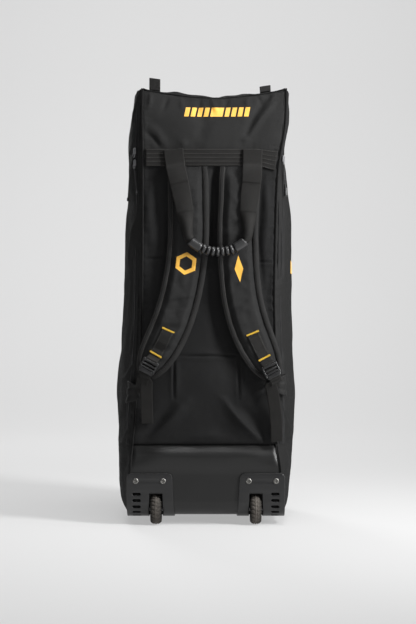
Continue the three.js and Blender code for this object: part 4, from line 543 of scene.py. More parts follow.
# Mesh helpers
class Shape:
    """Gathers points, faces and UVs, all in millimetres, into one piece."""

    def __init__(self):
        self.points, self.faces, self.uvs, self.count = [], [], [], 0

    def add(self, points, faces, uv=None):
        points = np.asarray(points, float).reshape(-1, 3)
        uv = np.zeros((len(points), 2)) if uv is None else np.asarray(uv, float).reshape(-1, 2)
        self.faces.extend([tuple(int(i) + self.count for i in f) for f in faces])
        self.points.append(points)
        self.uvs.append(uv)
        self.count += len(points)
        return self

    def grid(self, points, uv=None, wrap=False, flip=False):
        """Faces between rows of points; wrap joins each row's ends."""
        rows, columns = points.shape[:2]
        c = np.arange(columns if wrap else columns - 1)
        n = (c + 1) % columns
        faces = []
        for r in range(rows - 1):
            low, high = r * columns, (r + 1) * columns
            quads = np.stack([low + c, low + n, high + n, high + c], 1)
            faces.extend(map(tuple, quads[:, ::-1] if flip else quads))
        return self.add(points, faces, uv)

    def tube(self, rings, uv=None, flip=False, caps=True):
        rings = np.asarray(rings, float)
        start = self.count
        self.grid(rings, uv, True, flip)
        if caps:
            rows, columns = rings.shape[:2]
            first = [start + k for k in range(columns)]
            last = [start + (rows - 1) * columns + k for k in range(columns)]
            self.faces.append(tuple(first if flip else first[::-1]))
            self.faces.append(tuple(last[::-1] if flip else last))
        return self

    def rounded_box(self, centre, axes, size, radius, steps=3):
        """Box with round edges; axes are three unit vectors."""
        bm = bmesh.new()
        bmesh.ops.create_cube(bm, size=1)
        for v in bm.verts:
            v.co = Vector([v.co[k] * size[k] for k in range(3)])
        radius = min(radius, 0.49 * min(size))
        bmesh.ops.bevel(bm, geom=bm.edges[:], offset=radius, segments=steps, profile=0.5, affect="EDGES")
        local = np.array([v.co[:] for v in bm.verts])
        faces = [[v.index for v in f.verts] for f in bm.faces]
        bm.free()
        points = np.asarray(centre) + local @ np.asarray(axes)
        return self.add(points, faces, local[:, :2])

    def build(self, name, material, slot=None, nodes=(), body="bag", outward=True, thick=0, sharp=None):
        mesh = bpy.data.meshes.new(name)
        points = np.concatenate(self.points) * MM
        mesh.from_pydata(points.tolist(), [], self.faces)
        layer = mesh.uv_layers.new(name="UVMap")
        index = np.zeros(len(mesh.loops), np.int32)
        mesh.loops.foreach_get("vertex_index", index)
        layer.data.foreach_set("uv", (np.concatenate(self.uvs) * MM)[index].ravel())
        if outward:
            bm = bmesh.new()
            bm.from_mesh(mesh)
            bmesh.ops.recalc_face_normals(bm, faces=bm.faces)
            bm.to_mesh(mesh)
            bm.free()
        mesh.polygons.foreach_set("use_smooth", np.ones(len(mesh.polygons), bool))
        obj = bpy.data.objects.new(name, mesh)
        bpy.context.scene.collection.objects.link(obj)
        mesh.materials.append(material)
        if sharp is not None:
            mesh.set_sharp_from_angle(angle=math.radians(sharp))
        if thick:
            solid = obj.modifiers.new("thickness", "SOLIDIFY")
            solid.thickness = thick * MM
            solid.offset = -1
        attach(obj, body)
        if nodes:
            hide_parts(*nodes)
        return obj


def lengths(points):
    """Run along a row of points."""
    step = np.linalg.norm(np.diff(points, axis=0), axis=1)
    return np.concatenate([[0], np.cumsum(step)])


def spline(points, count):
    """Even points on a smooth line through the given ones."""
    points = np.asarray(points, float)
    run = lengths(points)
    at = np.linspace(0, run[-1], count)
    tangent = np.gradient(points, run, axis=0)
    i = np.clip(np.searchsorted(run, at, side="right") - 1, 0, len(run) - 2)
    h = (run[i + 1] - run[i])[:, None]
    t = ((at - run[i])[:, None]) / h
    return (points[i] * (1 + 2 * t) * (1 - t) ** 2 + tangent[i] * h * t * (1 - t) ** 2
            + points[i + 1] * t * t * (3 - 2 * t) + tangent[i + 1] * h * t * t * (t - 1))


def cross_frames(c, a):
    """Outward directions square to a line and its across direction."""
    tangent = unit(np.gradient(c, axis=0))
    return unit(np.cross(tangent, a))


def ribbon(shape, c, a, n, width, thick, columns=9, curl=0.0, edge=0.5, v0=0.0):
    """Webbing: a thin rounded section swept along c. Curl, in radians, bends it round its length."""
    c, a, n = np.asarray(c, float), unit(np.asarray(a, float)), np.asarray(n, float)
    rows = len(c)
    width = np.broadcast_to(np.asarray(width, float), rows)
    thick = np.broadcast_to(np.asarray(thick, float), rows)
    curl = np.broadcast_to(np.asarray(curl, float), rows)
    out = cross_frames(c, a)
    if np.sum(out[0] * n[0]) < 0:
        out = -out
    share = np.linspace(-0.5, 0.5, columns)
    profile = [(s, 0.0) for s in share]
    profile += [(0.5 + 0.012, edge)] + [(s, 1.0) for s in share[::-1]] + [(-0.5 - 0.012, edge)]
    profile = np.array(profile)
    run = lengths(c) + v0
    rings, uvs = [], []
    for k in range(rows):
        p, q = profile[:, 0] * width[k], profile[:, 1] * thick[k]
        if abs(curl[k]) > 1e-3:
            radius = width[k] / curl[k]
            angle = profile[:, 0] * curl[k]
            p, q = (radius + q) * np.sin(angle), (radius + q) * np.cos(angle) - radius
        rings.append(c[k] + np.outer(p, a[k]) + np.outer(q, out[k]))
        uvs.append(np.stack([profile[:, 0] * width[k], np.full(len(p), run[k])], 1))
    return shape.tube(np.array(rings), np.array(uvs))


def tube_along(shape, c, radius, sides=12):
    """Round tube along points."""
    c = np.asarray(c, float)
    tangent = unit(np.gradient(c, axis=0))
    radius = np.broadcast_to(np.asarray(radius, float), len(c))
    guide = np.array([0.31, 0.2, 0.93]) if abs(tangent[0][2]) < 0.8 else np.array([0.9, -0.3, 0.2])
    rings, uvs = [], []
    side = unit(np.cross(tangent[0], guide))
    run = lengths(c)
    turn = np.arange(sides) / sides * 2 * math.pi
    for k in range(len(c)):
        side = unit(side - tangent[k] * (side @ tangent[k]))
        up = np.cross(tangent[k], side)
        rings.append(c[k] + radius[k] * (np.outer(np.cos(turn), side) + np.outer(np.sin(turn), up)))
        uvs.append(np.stack([turn * radius[k], np.full(sides, run[k])], 1))
    return shape.tube(np.array(rings), np.array(uvs))


def lathe(shape, profile, centre, sides, ripple):
    """Profile of (radius, along) turned about an x axis through the centre, with a ripple in its radius."""
    turn = np.arange(sides) / sides * 2 * math.pi
    rings, uvs = [], []
    for k, (radius, along) in enumerate(profile):
        r, s = radius + ripple(k, along, turn), np.full(sides, float(along))
        rings.append(np.stack([s, r * np.cos(turn), r * np.sin(turn)], 1) + np.asarray(centre))
        uvs.append(np.stack([turn * 20, s], 1))
    return shape.tube(np.array(rings), np.array(uvs))


def stitches(shape, c, n, pitch=3.6, length=2.5, radius=0.38, lift=0.1):
    """Sewn stitches along a line of points that lies on a surface."""
    run = lengths(c)
    for start in np.arange(pitch / 2, run[-1] - length, pitch):
        ends = [np.array([np.interp(s, run, c[:, k]) for k in range(3)]) for s in (start, start + length)]
        normal = unit(np.array([np.interp(start, run, n[:, k]) for k in range(3)]))
        along = unit(ends[1] - ends[0])
        side = np.cross(along, normal)
        middle = (ends[0] + ends[1]) / 2 + normal * lift
        points = []
        for end, size in ((ends[0], 0.35), (middle, 1.0), (ends[1], 0.35)):
            base = end + normal * (lift if size == 1 else 0)
            points += [base + side * radius * size, base + normal * radius * 1.3 * size,
                       base - side * radius * size]
        faces = [(0, 1, 4, 3), (1, 2, 5, 4), (3, 4, 7, 6), (4, 5, 8, 7)]
        shape.add(points, faces)


# Panels
def body_rows(low, high, step=3.2, rounded=False):
    """Heights and tucks of a panel's rows."""
    ups, tucks = [], []
    if rounded:
        for k in range(12):
            tuck = (1 - k / 12) * math.pi / 2
            ups.append(EDGE * (1 - math.sin(tuck)))
            tucks.append(tuck)
        low = EDGE
    count = max(int((high - low) / step), 2)
    ups += list(np.linspace(low, high, count + 1))
    tucks += [0.0] * (count + 1)
    return np.array(ups)[:, None], np.array(tucks)[:, None]


def shares(columns, ease=0.35):
    """Columns, closer together towards both seams."""
    t = np.linspace(0, 1, columns + 1)
    return t - ease * np.sin(2 * np.pi * t) / (2 * np.pi)


def clear_wheels(shape, reached):
    """Takes out the faces that the wheels need gone."""
    points = np.concatenate(shape.points)
    middles = [points[list(f)].mean(0) for f in shape.faces]
    shape.faces = [f for f, (x, y, z) in zip(shape.faces, middles)
                   if not (abs(abs(x) - WHEEL_X) < WHEEL_GAP and reached(y, z))]
    return shape


def wall_panel(name, wall, low, high, columns, material, slot, nodes, rounded=False, holes=False, step=3.2):
    up, tuck = body_rows(low, high, step, rounded)
    u = shares(columns)[None, :]
    points = wall_points(wall, u, up, tuck)
    width = 2 * FRONT_HALF if wall in ("back", "front") else DEPTH
    run = np.cumsum(np.concatenate([[0], np.linalg.norm(np.diff(points[:, columns // 2], axis=0), axis=1)]))
    uv = np.stack(np.broadcast_arrays(u * width, run[:, None]), -1)
    shape = Shape().grid(points, uv)
    if holes:
        clear_wheels(shape, lambda y, z: z < 66 and y < 0)
    return shape.build(name, material, slot, nodes, outward=False, thick=1.6)


wall_panel("yoke_cloth", "back", YOKE, HEIGHT, 110, CANVAS, "canvas", ["upper_back_panel"], step=2.6)
back_pad = wall_panel("back_cloth", "back", KICK, YOKE, 110, PADDING, "padding", ["back_panel"], step=2.8)
wall_panel("kick_cloth", "back", 0, KICK, 110, COATED, "coated", ["kick_panel"], True, True, 3)
wall_panel("gusset_cloth_left", "left", 0, HEIGHT, 90, CANVAS, "canvas", ["gusset_left"], True)
wall_panel("gusset_cloth_right", "right", 0, HEIGHT, 90, CANVAS, "canvas", ["gusset_right"], True)
wall_panel("front_cloth", "front", 0, HEIGHT, 80, CANVAS, "canvas", ["front_panel"], True, step=4.5)


def patch_between(south, north, west, east, rise):
    """Patch between four edges, each a row of points."""
    u = np.linspace(0, 1, len(south))[None, :, None]
    v = np.linspace(0, 1, len(west))[:, None, None]
    corners = (south[0] * (1 - u) * (1 - v) + south[-1] * u * (1 - v)
               + north[0] * (1 - u) * v + north[-1] * u * v)
    patch = south[None] * (1 - v) + north[None] * v + west[:, None] * (1 - u) + east[:, None] * u - corners
    patch[..., 2] += rise(u[..., 0], v[..., 0])
    return patch


def top_rise(u, v):
    """Height of the top panel over its edges."""
    a, b = u * 2 * FRONT_HALF, v * DEPTH
    rise = DOME * fullness(u) * fullness(v) + main_folds("top", u, v)
    fade = smooth(0, 12, np.minimum(b, DEPTH - b)), smooth(0, 12, np.minimum(a, 2 * FRONT_HALF - a))
    rise = rise + soft(a, b, 71, 1.2) * fade[0] * fade[1]
    rise = rise - ridge(a, b, [(158, 0), (150, 40), (156, 90)], 12, 5.0)
    return rise + ridge(a, b, [(60, 4), (90, 30)], 9, 3.0) + ridge(a, b, [(230, 3), (200, 34)], 9, 3.0)


count_u, count_v = 70, 80
line_u, line_v = np.linspace(0, 1, count_u + 1), np.linspace(0, 1, count_v + 1)
top = patch_between(
    wall_points("back", line_u, HEIGHT), wall_points("front", 1 - line_u, HEIGHT),
    wall_points("left", 1 - line_v, HEIGHT), wall_points("right", line_v, HEIGHT), top_rise)
flat_uv = np.stack(np.broadcast_arrays(line_u[None] * 2 * FRONT_HALF, line_v[:, None] * DEPTH), -1)
Shape().grid(top, flat_uv).build("top_cloth", CANVAS, "canvas", ["top_panel"], outward=False, thick=1.6)
base = patch_between(
    wall_points("front", 1 - line_u, 0, math.pi / 2), wall_points("back", line_u, 0, math.pi / 2),
    wall_points("left", line_v, 0, math.pi / 2), wall_points("right", 1 - line_v, 0, math.pi / 2),
    lambda u, v: 0 * u * v)
base_shape = clear_wheels(Shape().grid(base, flat_uv), lambda y, z: y < AXLE_Y + 38)
base_shape.build("base_cloth", COATED, "coated", ["base_panel"], outward=False, thick=1.6)

# Piping along the back seams
for side, name in ((0, "left"), (1, "right")):
    ups = np.linspace(93, HEIGHT - 1, 300)
    line = wall_points("back", side, ups)
    seam_out = unit(np.array([(2 * side - 1) * 0.72, -0.7, 0.0]))
    run = line + seam_out * 1.6
    shape = tube_along(Shape(), run, 1.8 + 0.12 * noise(ups, ups * 0, 5, 5 + side), 12)
    shape.build(f"piping_cord_{name}", PIPE, "trim", [f"piping_{name}"])

# Webbing band across the yoke, with its lines of stitches
band_u = np.linspace(0.022, 0.978, 150)[None, :]
band_up = np.linspace(BAND_LOW, BAND_HIGH, 15)[:, None]


def band_points(lift, u, up):
    """Points of the band across the yoke, which sags at its right end, and normals."""
    seam_l, seam_r = section(up)[:2]
    x = seam_l + (seam_r - seam_l) * u
    point, normal = on_back(x, up)
    crease = 1.1 * noise(x, up, 17, 91) * smooth(X(258), X(272), x)
    crease = crease + 0.35 * noise(x, up * 2, 26, 93) + 0.3 * np.cos((up - BAND_LOW) / BAND * 8 * np.pi)
    point = point + normal * (lift + crease)[..., None]
    point[..., 2] -= 9 * smooth(X(255), X(277), x) * (1 - 0.5 * smooth(BAND_LOW, BAND_HIGH, up))
    return point, normal


outer, band_normal = band_points(3.1, band_u, band_up)
inner, _ = band_points(1.3, band_u, band_up)
ring = np.concatenate([outer, inner[::-1]], 0).transpose(1, 0, 2)
band_uv = np.stack(np.broadcast_arrays(np.concatenate([band_up[:, 0], band_up[::-1, 0]])[None],
                                       band_u[0][:, None] * 290), -1)
Shape().tube(ring, band_uv).build("yoke_band", WEBBING, "webbing", ["reinforcement_band"])
sewing = Shape()
for share in (0.05, 0.28, 0.5, 0.72, 0.95):
    up = np.full(150, BAND_LOW + share * BAND)
    line, normal = band_points(3.3, band_u[0], up)
    stitches(sewing, line, normal)


# Shoulder straps
def strap_line(table, count):
    """Centre, across, outward, width and thickness along a strap."""
    rows = np.array(table)
    x, up = rows[:, 0] * HALF_WIDTH, BAND_LOW - 1.2 - rows[:, 1] * STRAP_DROP
    key = lengths(np.stack([x, up], 1))
    at = np.linspace(0, key[-1], count)
    px, pup = curve(key, x, at), curve(key, up, at)
    lift = 1.2 + curve(key, rows[:, 4], at) * DEPTH
    foot, normal = on_back(px, pup)
    for _ in range(6):
        normal = unit(normal + np.roll(normal, 1, 0) * (np.arange(count) > 0)[:, None]
                      + np.roll(normal, -1, 0) * (np.arange(count) < count - 1)[:, None])
    c = foot + normal * lift[:, None]
    kernel = np.ones(9) / 9
    c = np.stack([np.convolve(np.pad(c[:, k], 4, mode="reflect", reflect_type="odd"), kernel, "valid")
                  for k in range(3)], 1)
    tangent = unit(np.gradient(c, axis=0))
    across = unit(np.cross(normal, tangent))
    across = np.where((across[:, :1] < 0), -across, across)
    level = smooth(0, 26, at)[:, None]
    across = unit(across * level + np.array([1.0, 0, 0]) * (1 - level))
    return c, across, unit(np.cross(across, tangent)) * -1, curve(key, rows[:, 2], at) * STRAP_WIDE, \
        curve(key, rows[:, 3], at) * STRAP_THICK, at


def strap_profile():
    """Places across a padded strap, in shares of its width: its top face, then its underside."""
    return np.concatenate([np.linspace(-0.5, 0.5, 41), np.linspace(0.5, -0.5, 21)[1:-1]])


def strap_height(p, w, t, along, seed):
    """Height of the strap's top face above its underside."""
    edge = (0.5 - np.abs(p)) * w
    rim = 6.2 * np.sqrt(np.clip(1 - np.clip(1 - edge / 5.0, 0, 1) ** 2, 0, 1))
    pad = np.maximum(t - 6.2, 0) * smooth(11.5, 24, edge)
    channel = -2.3 * np.exp(-(((edge - 11.5) / 1.7) ** 2))
    lumps = 1.6 * noise(along, p * w, 34, seed) + 1.0 * noise(along, p * w, 13, seed + 1)
    cross = 2.8 * np.maximum(noise(along + p * w * 0.4, p * w * 0.2, 15, seed + 2), 0)
    gathers = 0.5 * noise(along, p * 0, 6, seed + 3) * np.exp(-(((edge - 13) / 4.0) ** 2))
    height = rim + pad + channel + (lumps - cross) * smooth(8, 20, edge) + gathers
    return height * np.clip(t / STRAP_THICK, 0.3, 1)


STRAPS = [("left", -1, STRAP_LEFT, RIG_LEFT, 101), ("right", 1, STRAP_RIGHT, RIG_RIGHT, 131)]
FACINGS = {}
for name, side, table, rig, seed in STRAPS:
    c, across, out, wide, thick, along = strap_line(table, 190)
    if np.mean(out[:, 1]) > 0:
        out = -out
    share = strap_profile()
    rings, uvs = [], []
    for k in range(len(c)):
        p = share
        q = np.zeros(len(share))
        top_face = np.arange(len(share)) < 41
        q[top_face] = strap_height(p[top_face], wide[k], thick[k], np.full(41, along[k]), seed)
        q[~top_face] = 0.6 * (np.abs(p[~top_face]) * 2) ** 8
        q[0] = q[40] = 1.6
        rings.append(c[k] + np.outer(p * wide[k], across[k]) + np.outer(q, out[k]))
        uvs.append(np.stack([p * wide[k], np.full(len(p), along[k])], 1))
    strap = Shape().tube(np.array(rings), np.array(uvs))
    # The strap takes the lighter copy of the padding fabric: painted light.
    strap = strap.build(f"strap_pad_{name}", LIT_STRAP_CLOTH, "padding", [f"shoulder_strap_{name}"])
    FACINGS[name] = (c, across, out, wide, thick, along, seed)
    # Binding round both edges, and its stitches
    bound = Shape()
    for edge_side in (-1, 1):
        distances = np.array([9.5, 8, 6, 4, 2.4, 1.2, 0.4, 0])
        strips, strip_uv = [], []
        for k in range(len(c)):
            top_p = edge_side * (0.5 - distances / wide[k])
            top_q = strap_height(top_p, wide[k], thick[k], np.full(8, along[k]), seed)
            top_q[-1] = 2.2
            path_p = np.concatenate([top_p * wide[k], [edge_side * (wide[k] / 2 + 0.5)],
                                     top_p[::-1] * wide[k]])
            path_p[:8] += edge_side * 0.5 * smooth(3, 0, distances)
            path_q = np.concatenate([top_q + 0.75, [2.4], np.full(8, -0.7)])
            path_q[-8:] += 1.6 * smooth(3.5, 0, distances[::-1])
            strips.append(c[k] + np.outer(path_p, across[k]) + np.outer(path_q, out[k]))
            strip_uv.append(np.stack([np.arange(17) * 1.4, np.full(17, along[k])], 1))
        bound.grid(np.array(strips), np.array(strip_uv))
        for inset, radius in ((9.3, 0.5), (1.4, 0.34)):
            p = edge_side * (0.5 - inset / wide)
            height = np.array([strap_height(p[k:k + 1], wide[k], thick[k], along[k:k + 1], seed)[0]
                               for k in range(len(c))])
            line = c + across * (p * wide)[:, None] + out * (height + 0.8)[:, None]
            stitches(sewing, line, out, 3.4, 2.7, radius)
    bound.build(f"strap_binding_{name}", BINDING, "trim", outward=False, thick=0.5)


def on_strap(name, share, distance=0.0):
    """Point of a strap's top face at a share of its length, and its directions."""
    c, across, out, wide, thick, along, seed = FACINGS[name]
    place = share * (len(c) - 1)
    i = int(min(max(math.floor(place), 0), len(c) - 2))
    f = place - i
    mid = c[i] * (1 - f) + c[i + 1] * f
    a, n = unit(across[i] * (1 - f) + across[i + 1] * f), unit(out[i] * (1 - f) + out[i + 1] * f)
    w, t = wide[i], thick[i]
    q = strap_height(np.array([distance / w]), w, t, np.array([along[i]]), seed)[0]
    return mid + a * distance + n * q, a, n, unit(c[i + 1] - c[i]), t


# Buckles, adjusters and anchors
for name, side, table, rig, seed in STRAPS:
    row_at, anchor_down, tail = rig
    rows = np.array(table)
    key = lengths(np.stack([rows[:, 0] * HALF_WIDTH, rows[:, 1] * STRAP_DROP], 1))
    station = np.interp(row_at * (len(rows) - 1), np.arange(len(rows)), key) / key[-1]
    centre, a, n, down, thick = on_strap(name, station)
    c_line = FACINGS[name][0]
    i = int(station * (len(c_line) - 1))
    n = unit(n - down * (n @ down))
    centre = c_line[i] + n * (thick + LOCK_LIFT)
    up = -down
    axes = [a, up, n]
    lock = Shape()
    half, tall = LOCK_WIDTH / 2, LOCK_LENGTH / 2
    rail = half - 2.6
    for s in (-1, 1):
        lock.rounded_box(centre + a * s * rail + up * 0.8 + n * 1.8, axes, (4.6, LOCK_LENGTH - 6, 4.2), 1.5)
    slot = (LOCK_LENGTH - 2 * 4.4 - 7) / 2
    for y in (tall - 2.2, tall - 4.4 - slot - 2.2):
        lock.rounded_box(centre + up * y + n * 1.8, axes, (LOCK_WIDTH - 4, 4.2, 3.6), 1.5)
    for y, tall_bar in ((tall - 4.5, 4.4), (tall - 12.5, 3.6), (tall - 19.5, 3.6)):
        lock.rounded_box(centre + up * y + n * 7.4, axes, (LOCK_WIDTH - 1, tall_bar, 3.2), 1.5)
    for s in (-1, 1):
        lock.rounded_box(centre + a * s * (half - 2.0) + up * 1.5 + n * 5.2, axes,
                         (3.6, LOCK_LENGTH - 5, 6.4), 1.6)
    lip_axes = [a, unit(up - n * 0.35), unit(n + up * 0.35)]
    lock.rounded_box(centre - up * (tall - 5.0) + n * 8.2, lip_axes, (WEB + 3, 8.4, 2.6), 1.2)
    lock.rounded_box(centre - up * (tall - 3.6) + n * 2.0, lip_axes, (WEB + 5, 7.6, 3.2), 1.5)
    lock.rounded_box(centre - up * (tall - 0.6) + n * 3.0, lip_axes, (WEB - 4, 4.0, 2.6), 1.2)
    lock.build(f"buckle_{name}", BUCKLE, "buckle", [f"ladder_lock_{name}"])

    def lock_points(route):
        return [centre + down * s * LOCK_LENGTH + n * h * LOCK_THICK for s, h in route]

    total = FACINGS[name][5][-1]
    end = station - 0.8 * LOCK_LENGTH / total
    start = end - 62 / total
    sewn = [on_strap(name, start + (end - start) * k / 8)[0] + n * 0.5 for k in range(9)]
    path = spline(np.array(sewn + lock_points(PATCH_ROUTE)), 110)
    patch = ribbon(Shape(), path, np.tile(a, (110, 1)), np.tile(n, (110, 1)), WEB, WEB_THICK, 13)
    patch.build(f"patch_webbing_{name}", WEBBING, "webbing", [f"strap_webbing_{name}"])
    # Yellow bar-tacks across the patch, at both ends
    tacks = Shape()
    for share in (0.03, 0.93):
        k = start + (end - start) * share
        mid, ta, tn, td, _ = on_strap(name, k)
        for turn in np.linspace(-0.5, 0.5, 27):
            spot = mid + ta * turn * (WEB + 1.5) + tn * (WEB_THICK + 1.0)
            tacks.rounded_box(spot, [unit(ta + td * 0.25), td, tn], (1.15, 4.0, 0.9), 0.4, 1)
    tacks.build(f"bar_tacks_{name}", YELLOW, "trim")
    for s in (-1, 1):
        line = np.array([on_strap(name, start + (end - start) * k / 20, s * 10.5)[0] + n * (WEB_THICK + 0.7)
                         for k in range(1, 20)])
        stitches(sewing, line, np.tile(n, (19, 1)))

    # Anchor tab from the gusset over the seam
    anchor_up = BAND_LOW - anchor_down * STRAP_DROP
    seam = section(anchor_up)[0 if side < 0 else 1]
    grid_rows = []
    for k, spread in enumerate(np.linspace(-0.5, 0.5, 17)):
        root, tip = spread * 46, spread * 27
        g0, gn0 = on_gusset(name, 15.5, anchor_up + root)
        g1, gn1 = on_gusset(name, 6.5, anchor_up + (root * 0.85 + tip * 0.15))
        corner = on_back(seam, anchor_up + (root + tip) / 2)[0]
        corner_out = unit(np.array([side * 1.0, -1.0, 0]))
        b1, bn1 = on_back(seam - side * 7, anchor_up + tip)
        crease = 0.9 * math.sin(k * 0.9) + 0.6 * math.sin(k * 2.1 + side)
        far, far_n = on_gusset(name, 25, anchor_up + root * 0.9)
        row = [far + far_n * 1.2, g0 + gn0 * (11.0 + 1.6 * crease), g1 + gn1 * (15.0 + 1.4 * crease),
               corner + corner_out * (13.0 + 0.6 * crease), b1 + bn1 * (7.2 + 0.4 * crease)]
        grid_rows.append(spline(np.array(row), 16))
    tab = np.array(grid_rows)
    tab_uv = np.stack(np.broadcast_arrays(np.linspace(0, 46, 17)[:, None], np.linspace(0, 26, 16)[None]), -1)
    # The tab takes the darker copy of the canvas: painted shade.
    Shape().grid(tab, tab_uv).build(f"anchor_cloth_{name}", SHADED_TAB_CLOTH, "trim", [f"anchor_tab_{name}"],
                                    outward=False, thick=2.0)

    # Adjuster webbing from the anchor, round the buckle's bars, to its loose end
    first = lock_points([ADJUSTER_ROUTE[0]])[0]
    begin = on_back(seam - side * 27 / 4, anchor_up)[0] + np.array([0, -9.2, 0])
    ramp = [begin, begin * 0.8 + first * 0.2, begin * 0.4 + first * 0.6]
    ramp[1][1] = begin[1] * 0.9 + first[1] * 0.1
    ends, ends_a = [], []
    for tx, tdown, tlift, tturn in tail:
        tail_up = BAND_LOW - tdown * STRAP_DROP
        foot, fn = on_back(tx * HALF_WIDTH, tail_up)
        fn = unit(fn * 0.3 + np.array([0, -1.0, 0]))
        ends.append(foot + fn * tlift * DEPTH)
        ends_a.append([math.cos(math.radians(tturn)), 0, math.sin(math.radians(tturn))])
    rough = np.array(ramp + lock_points(ADJUSTER_ROUTE) + ends)
    rough_a = np.array([a] * (len(ramp) + len(ADJUSTER_ROUTE)) + ends_a)
    path = spline(rough, 260)
    key = lengths(rough)
    at = np.linspace(0, key[-1], 260)
    path_a = unit(np.stack([np.interp(at, key, rough_a[:, k]) for k in range(3)], 1))
    sign = cross_frames(path, path_a)
    facing = np.argmin(np.linalg.norm(path - lock_points([ADJUSTER_ROUTE[1]])[0], axis=1))
    if sign[facing] @ n < 0:
        sign = -sign
    strap_n = np.tile(sign[0], (260, 1))
    thickness = np.where(at > key[-1] - 30, 2 * WEB_THICK, WEB_THICK)
    thickness = np.convolve(np.pad(thickness, 2, mode="edge"), np.ones(5) / 5, "valid")
    web = ribbon(Shape(), path, path_a, strap_n, WEB, thickness, 13)
    web.build(f"adjuster_{name}", WEBBING, "webbing", [f"adjuster_webbing_{name}"])

# Haul handle
rows = np.array(HANDLE)
hx, hup = rows[:, 0] * HALF_WIDTH, BAND_HIGH - rows[:, 1] * HANDLE_DROP
foot, hn = on_back(hx, hup)
hn = unit(hn * 0.35 + np.array([0, -1.0, 0]))
hc = foot + hn * (rows[:, 2] * DEPTH)[:, None]
key = lengths(hc)
count = 340
handle_c = spline(hc, count)
at = np.linspace(0, key[-1], count)
handle_w = np.interp(at, key, rows[:, 3]) * HANDLE_WIDE
tangent = unit(np.gradient(handle_c, axis=0))
normal = unit(np.stack([np.interp(at, key, hn[:, k]) for k in range(3)], 1))
handle_a = unit(np.cross(normal, tangent))
middle = int(np.argmin(handle_c[:, 2]))
trial = np.linspace(0.01, 2.6, 300)
half_turn = np.interp(-handle_w / HANDLE_WIDE, -np.sin(trial) / trial, trial)
from_middle = np.abs(at - at[middle])
squeeze = smooth(70, 58, from_middle)
flat_share = 0.3 + 0.7 * smooth(0.92, 0.55, handle_w / HANDLE_WIDE)
half_turn = np.maximum(half_turn * flat_share, 0.01)
arc = np.minimum(handle_w * half_turn / np.sin(half_turn), HANDLE_WIDE) * (1 - 0.62 * squeeze)
layers = 1.7 + 1.7 * smooth(Z(184), Z(183), handle_c[:, 2]) + 0.9 * smooth(Z(213), Z(212), handle_c[:, 2])
turned = ribbon(Shape(), handle_c, handle_a, normal, arc, layers, 25, 2 * half_turn)
turned.build("haul_webbing", WEBBING, "webbing", ["haul_handle_webbing"])
for s0, s1 in ((0.0, 0.075), (0.925, 1.0)):
    pick = slice(int(s0 * count), int(s1 * count))
    for off in (-17, 17):
        stitches(sewing, handle_c[pick] + handle_a[pick] * off + normal[pick] * 2.3, normal[pick])
sewing.build("stitching", THREAD, "trim", outward=False)

# Moulded grip with its finger grooves
GRIP_HALF, GRIP_RADIUS, GRIP_BORE = 62, 9.8, 7.5
GROOVE_PITCH, GROOVED_HALF = 9.8, 39.2
grip_c = handle_c + normal * 2.0
run = lengths(grip_c)
centre_run = run[middle]
grip_at = np.linspace(-GRIP_HALF, GRIP_HALF, 200)
gc = np.stack([np.interp(centre_run + grip_at, run, grip_c[:, k]) for k in range(3)], 1)
gn = unit(np.stack([np.interp(centre_run + grip_at, run, normal[:, k]) for k in range(3)], 1))
gt = unit(np.gradient(gc, axis=0))
gu = unit(np.cross(gn, gt))
gu = np.where(gu[:, 2:] < 0, -gu, gu)
turn = np.arange(40) / 40 * 2 * math.pi
rings, uvs, shaded_groove_rows = [], [], np.zeros(200, bool)
for k, s in enumerate(grip_at):
    end = GRIP_HALF - abs(s)
    r = GRIP_RADIUS * (0.82 + 0.18 * math.sqrt(max(0, 1 - max(0, 1 - end / 3.0) ** 2)))
    if abs(s) < GROOVED_HALF:
        phase = ((s + GROOVED_HALF) % GROOVE_PITCH) / GROOVE_PITCH - 0.5
        cut = math.exp(-((phase * GROOVE_PITCH / 2.1) ** 4))
        shaded_groove_rows[k] = cut > 0.35
        below = 0.5 - 0.5 * np.sin(turn)
        r = r + 1.0 * math.cos(phase * 2 * math.pi + math.pi) * below - 2.2 * cut * (0.45 + 0.55 * below)
    else:
        r = r + 0.5
    rings.append(gc[k] + np.outer(r * np.cos(turn), gn[k]) + np.outer(r * np.sin(turn), gu[k]))
    uvs.append(np.stack([turn * 10, np.full(40, s)], 1))
grip = Shape().tube(np.array(rings), np.array(uvs), caps=False)
inner_rings = [gc[k] + GRIP_BORE * (np.outer(np.cos(turn), gn[k]) + np.outer(np.sin(turn), gu[k]))
               for k in (0, 50, 100, 150, 199)]
grip.grid(np.array(inner_rings), None, True, True)
for k, row in ((0, 0), (199, 4)):
    start = grip.count
    pair = np.stack([rings[k], inner_rings[row]])
    grip.grid(pair, None, True)
sleeve = grip.build("grip_sleeve", GRIP, "grip", ["haul_handle_grip"])
# The faces in the grooves take the near-black material: painted shade.
sleeve.data.materials.append(GRIP_GROOVE_SHADE)
for face in sleeve.data.polygons[:199 * 40]:
    face.material_index = int(shaded_groove_rows[face.index // 40])

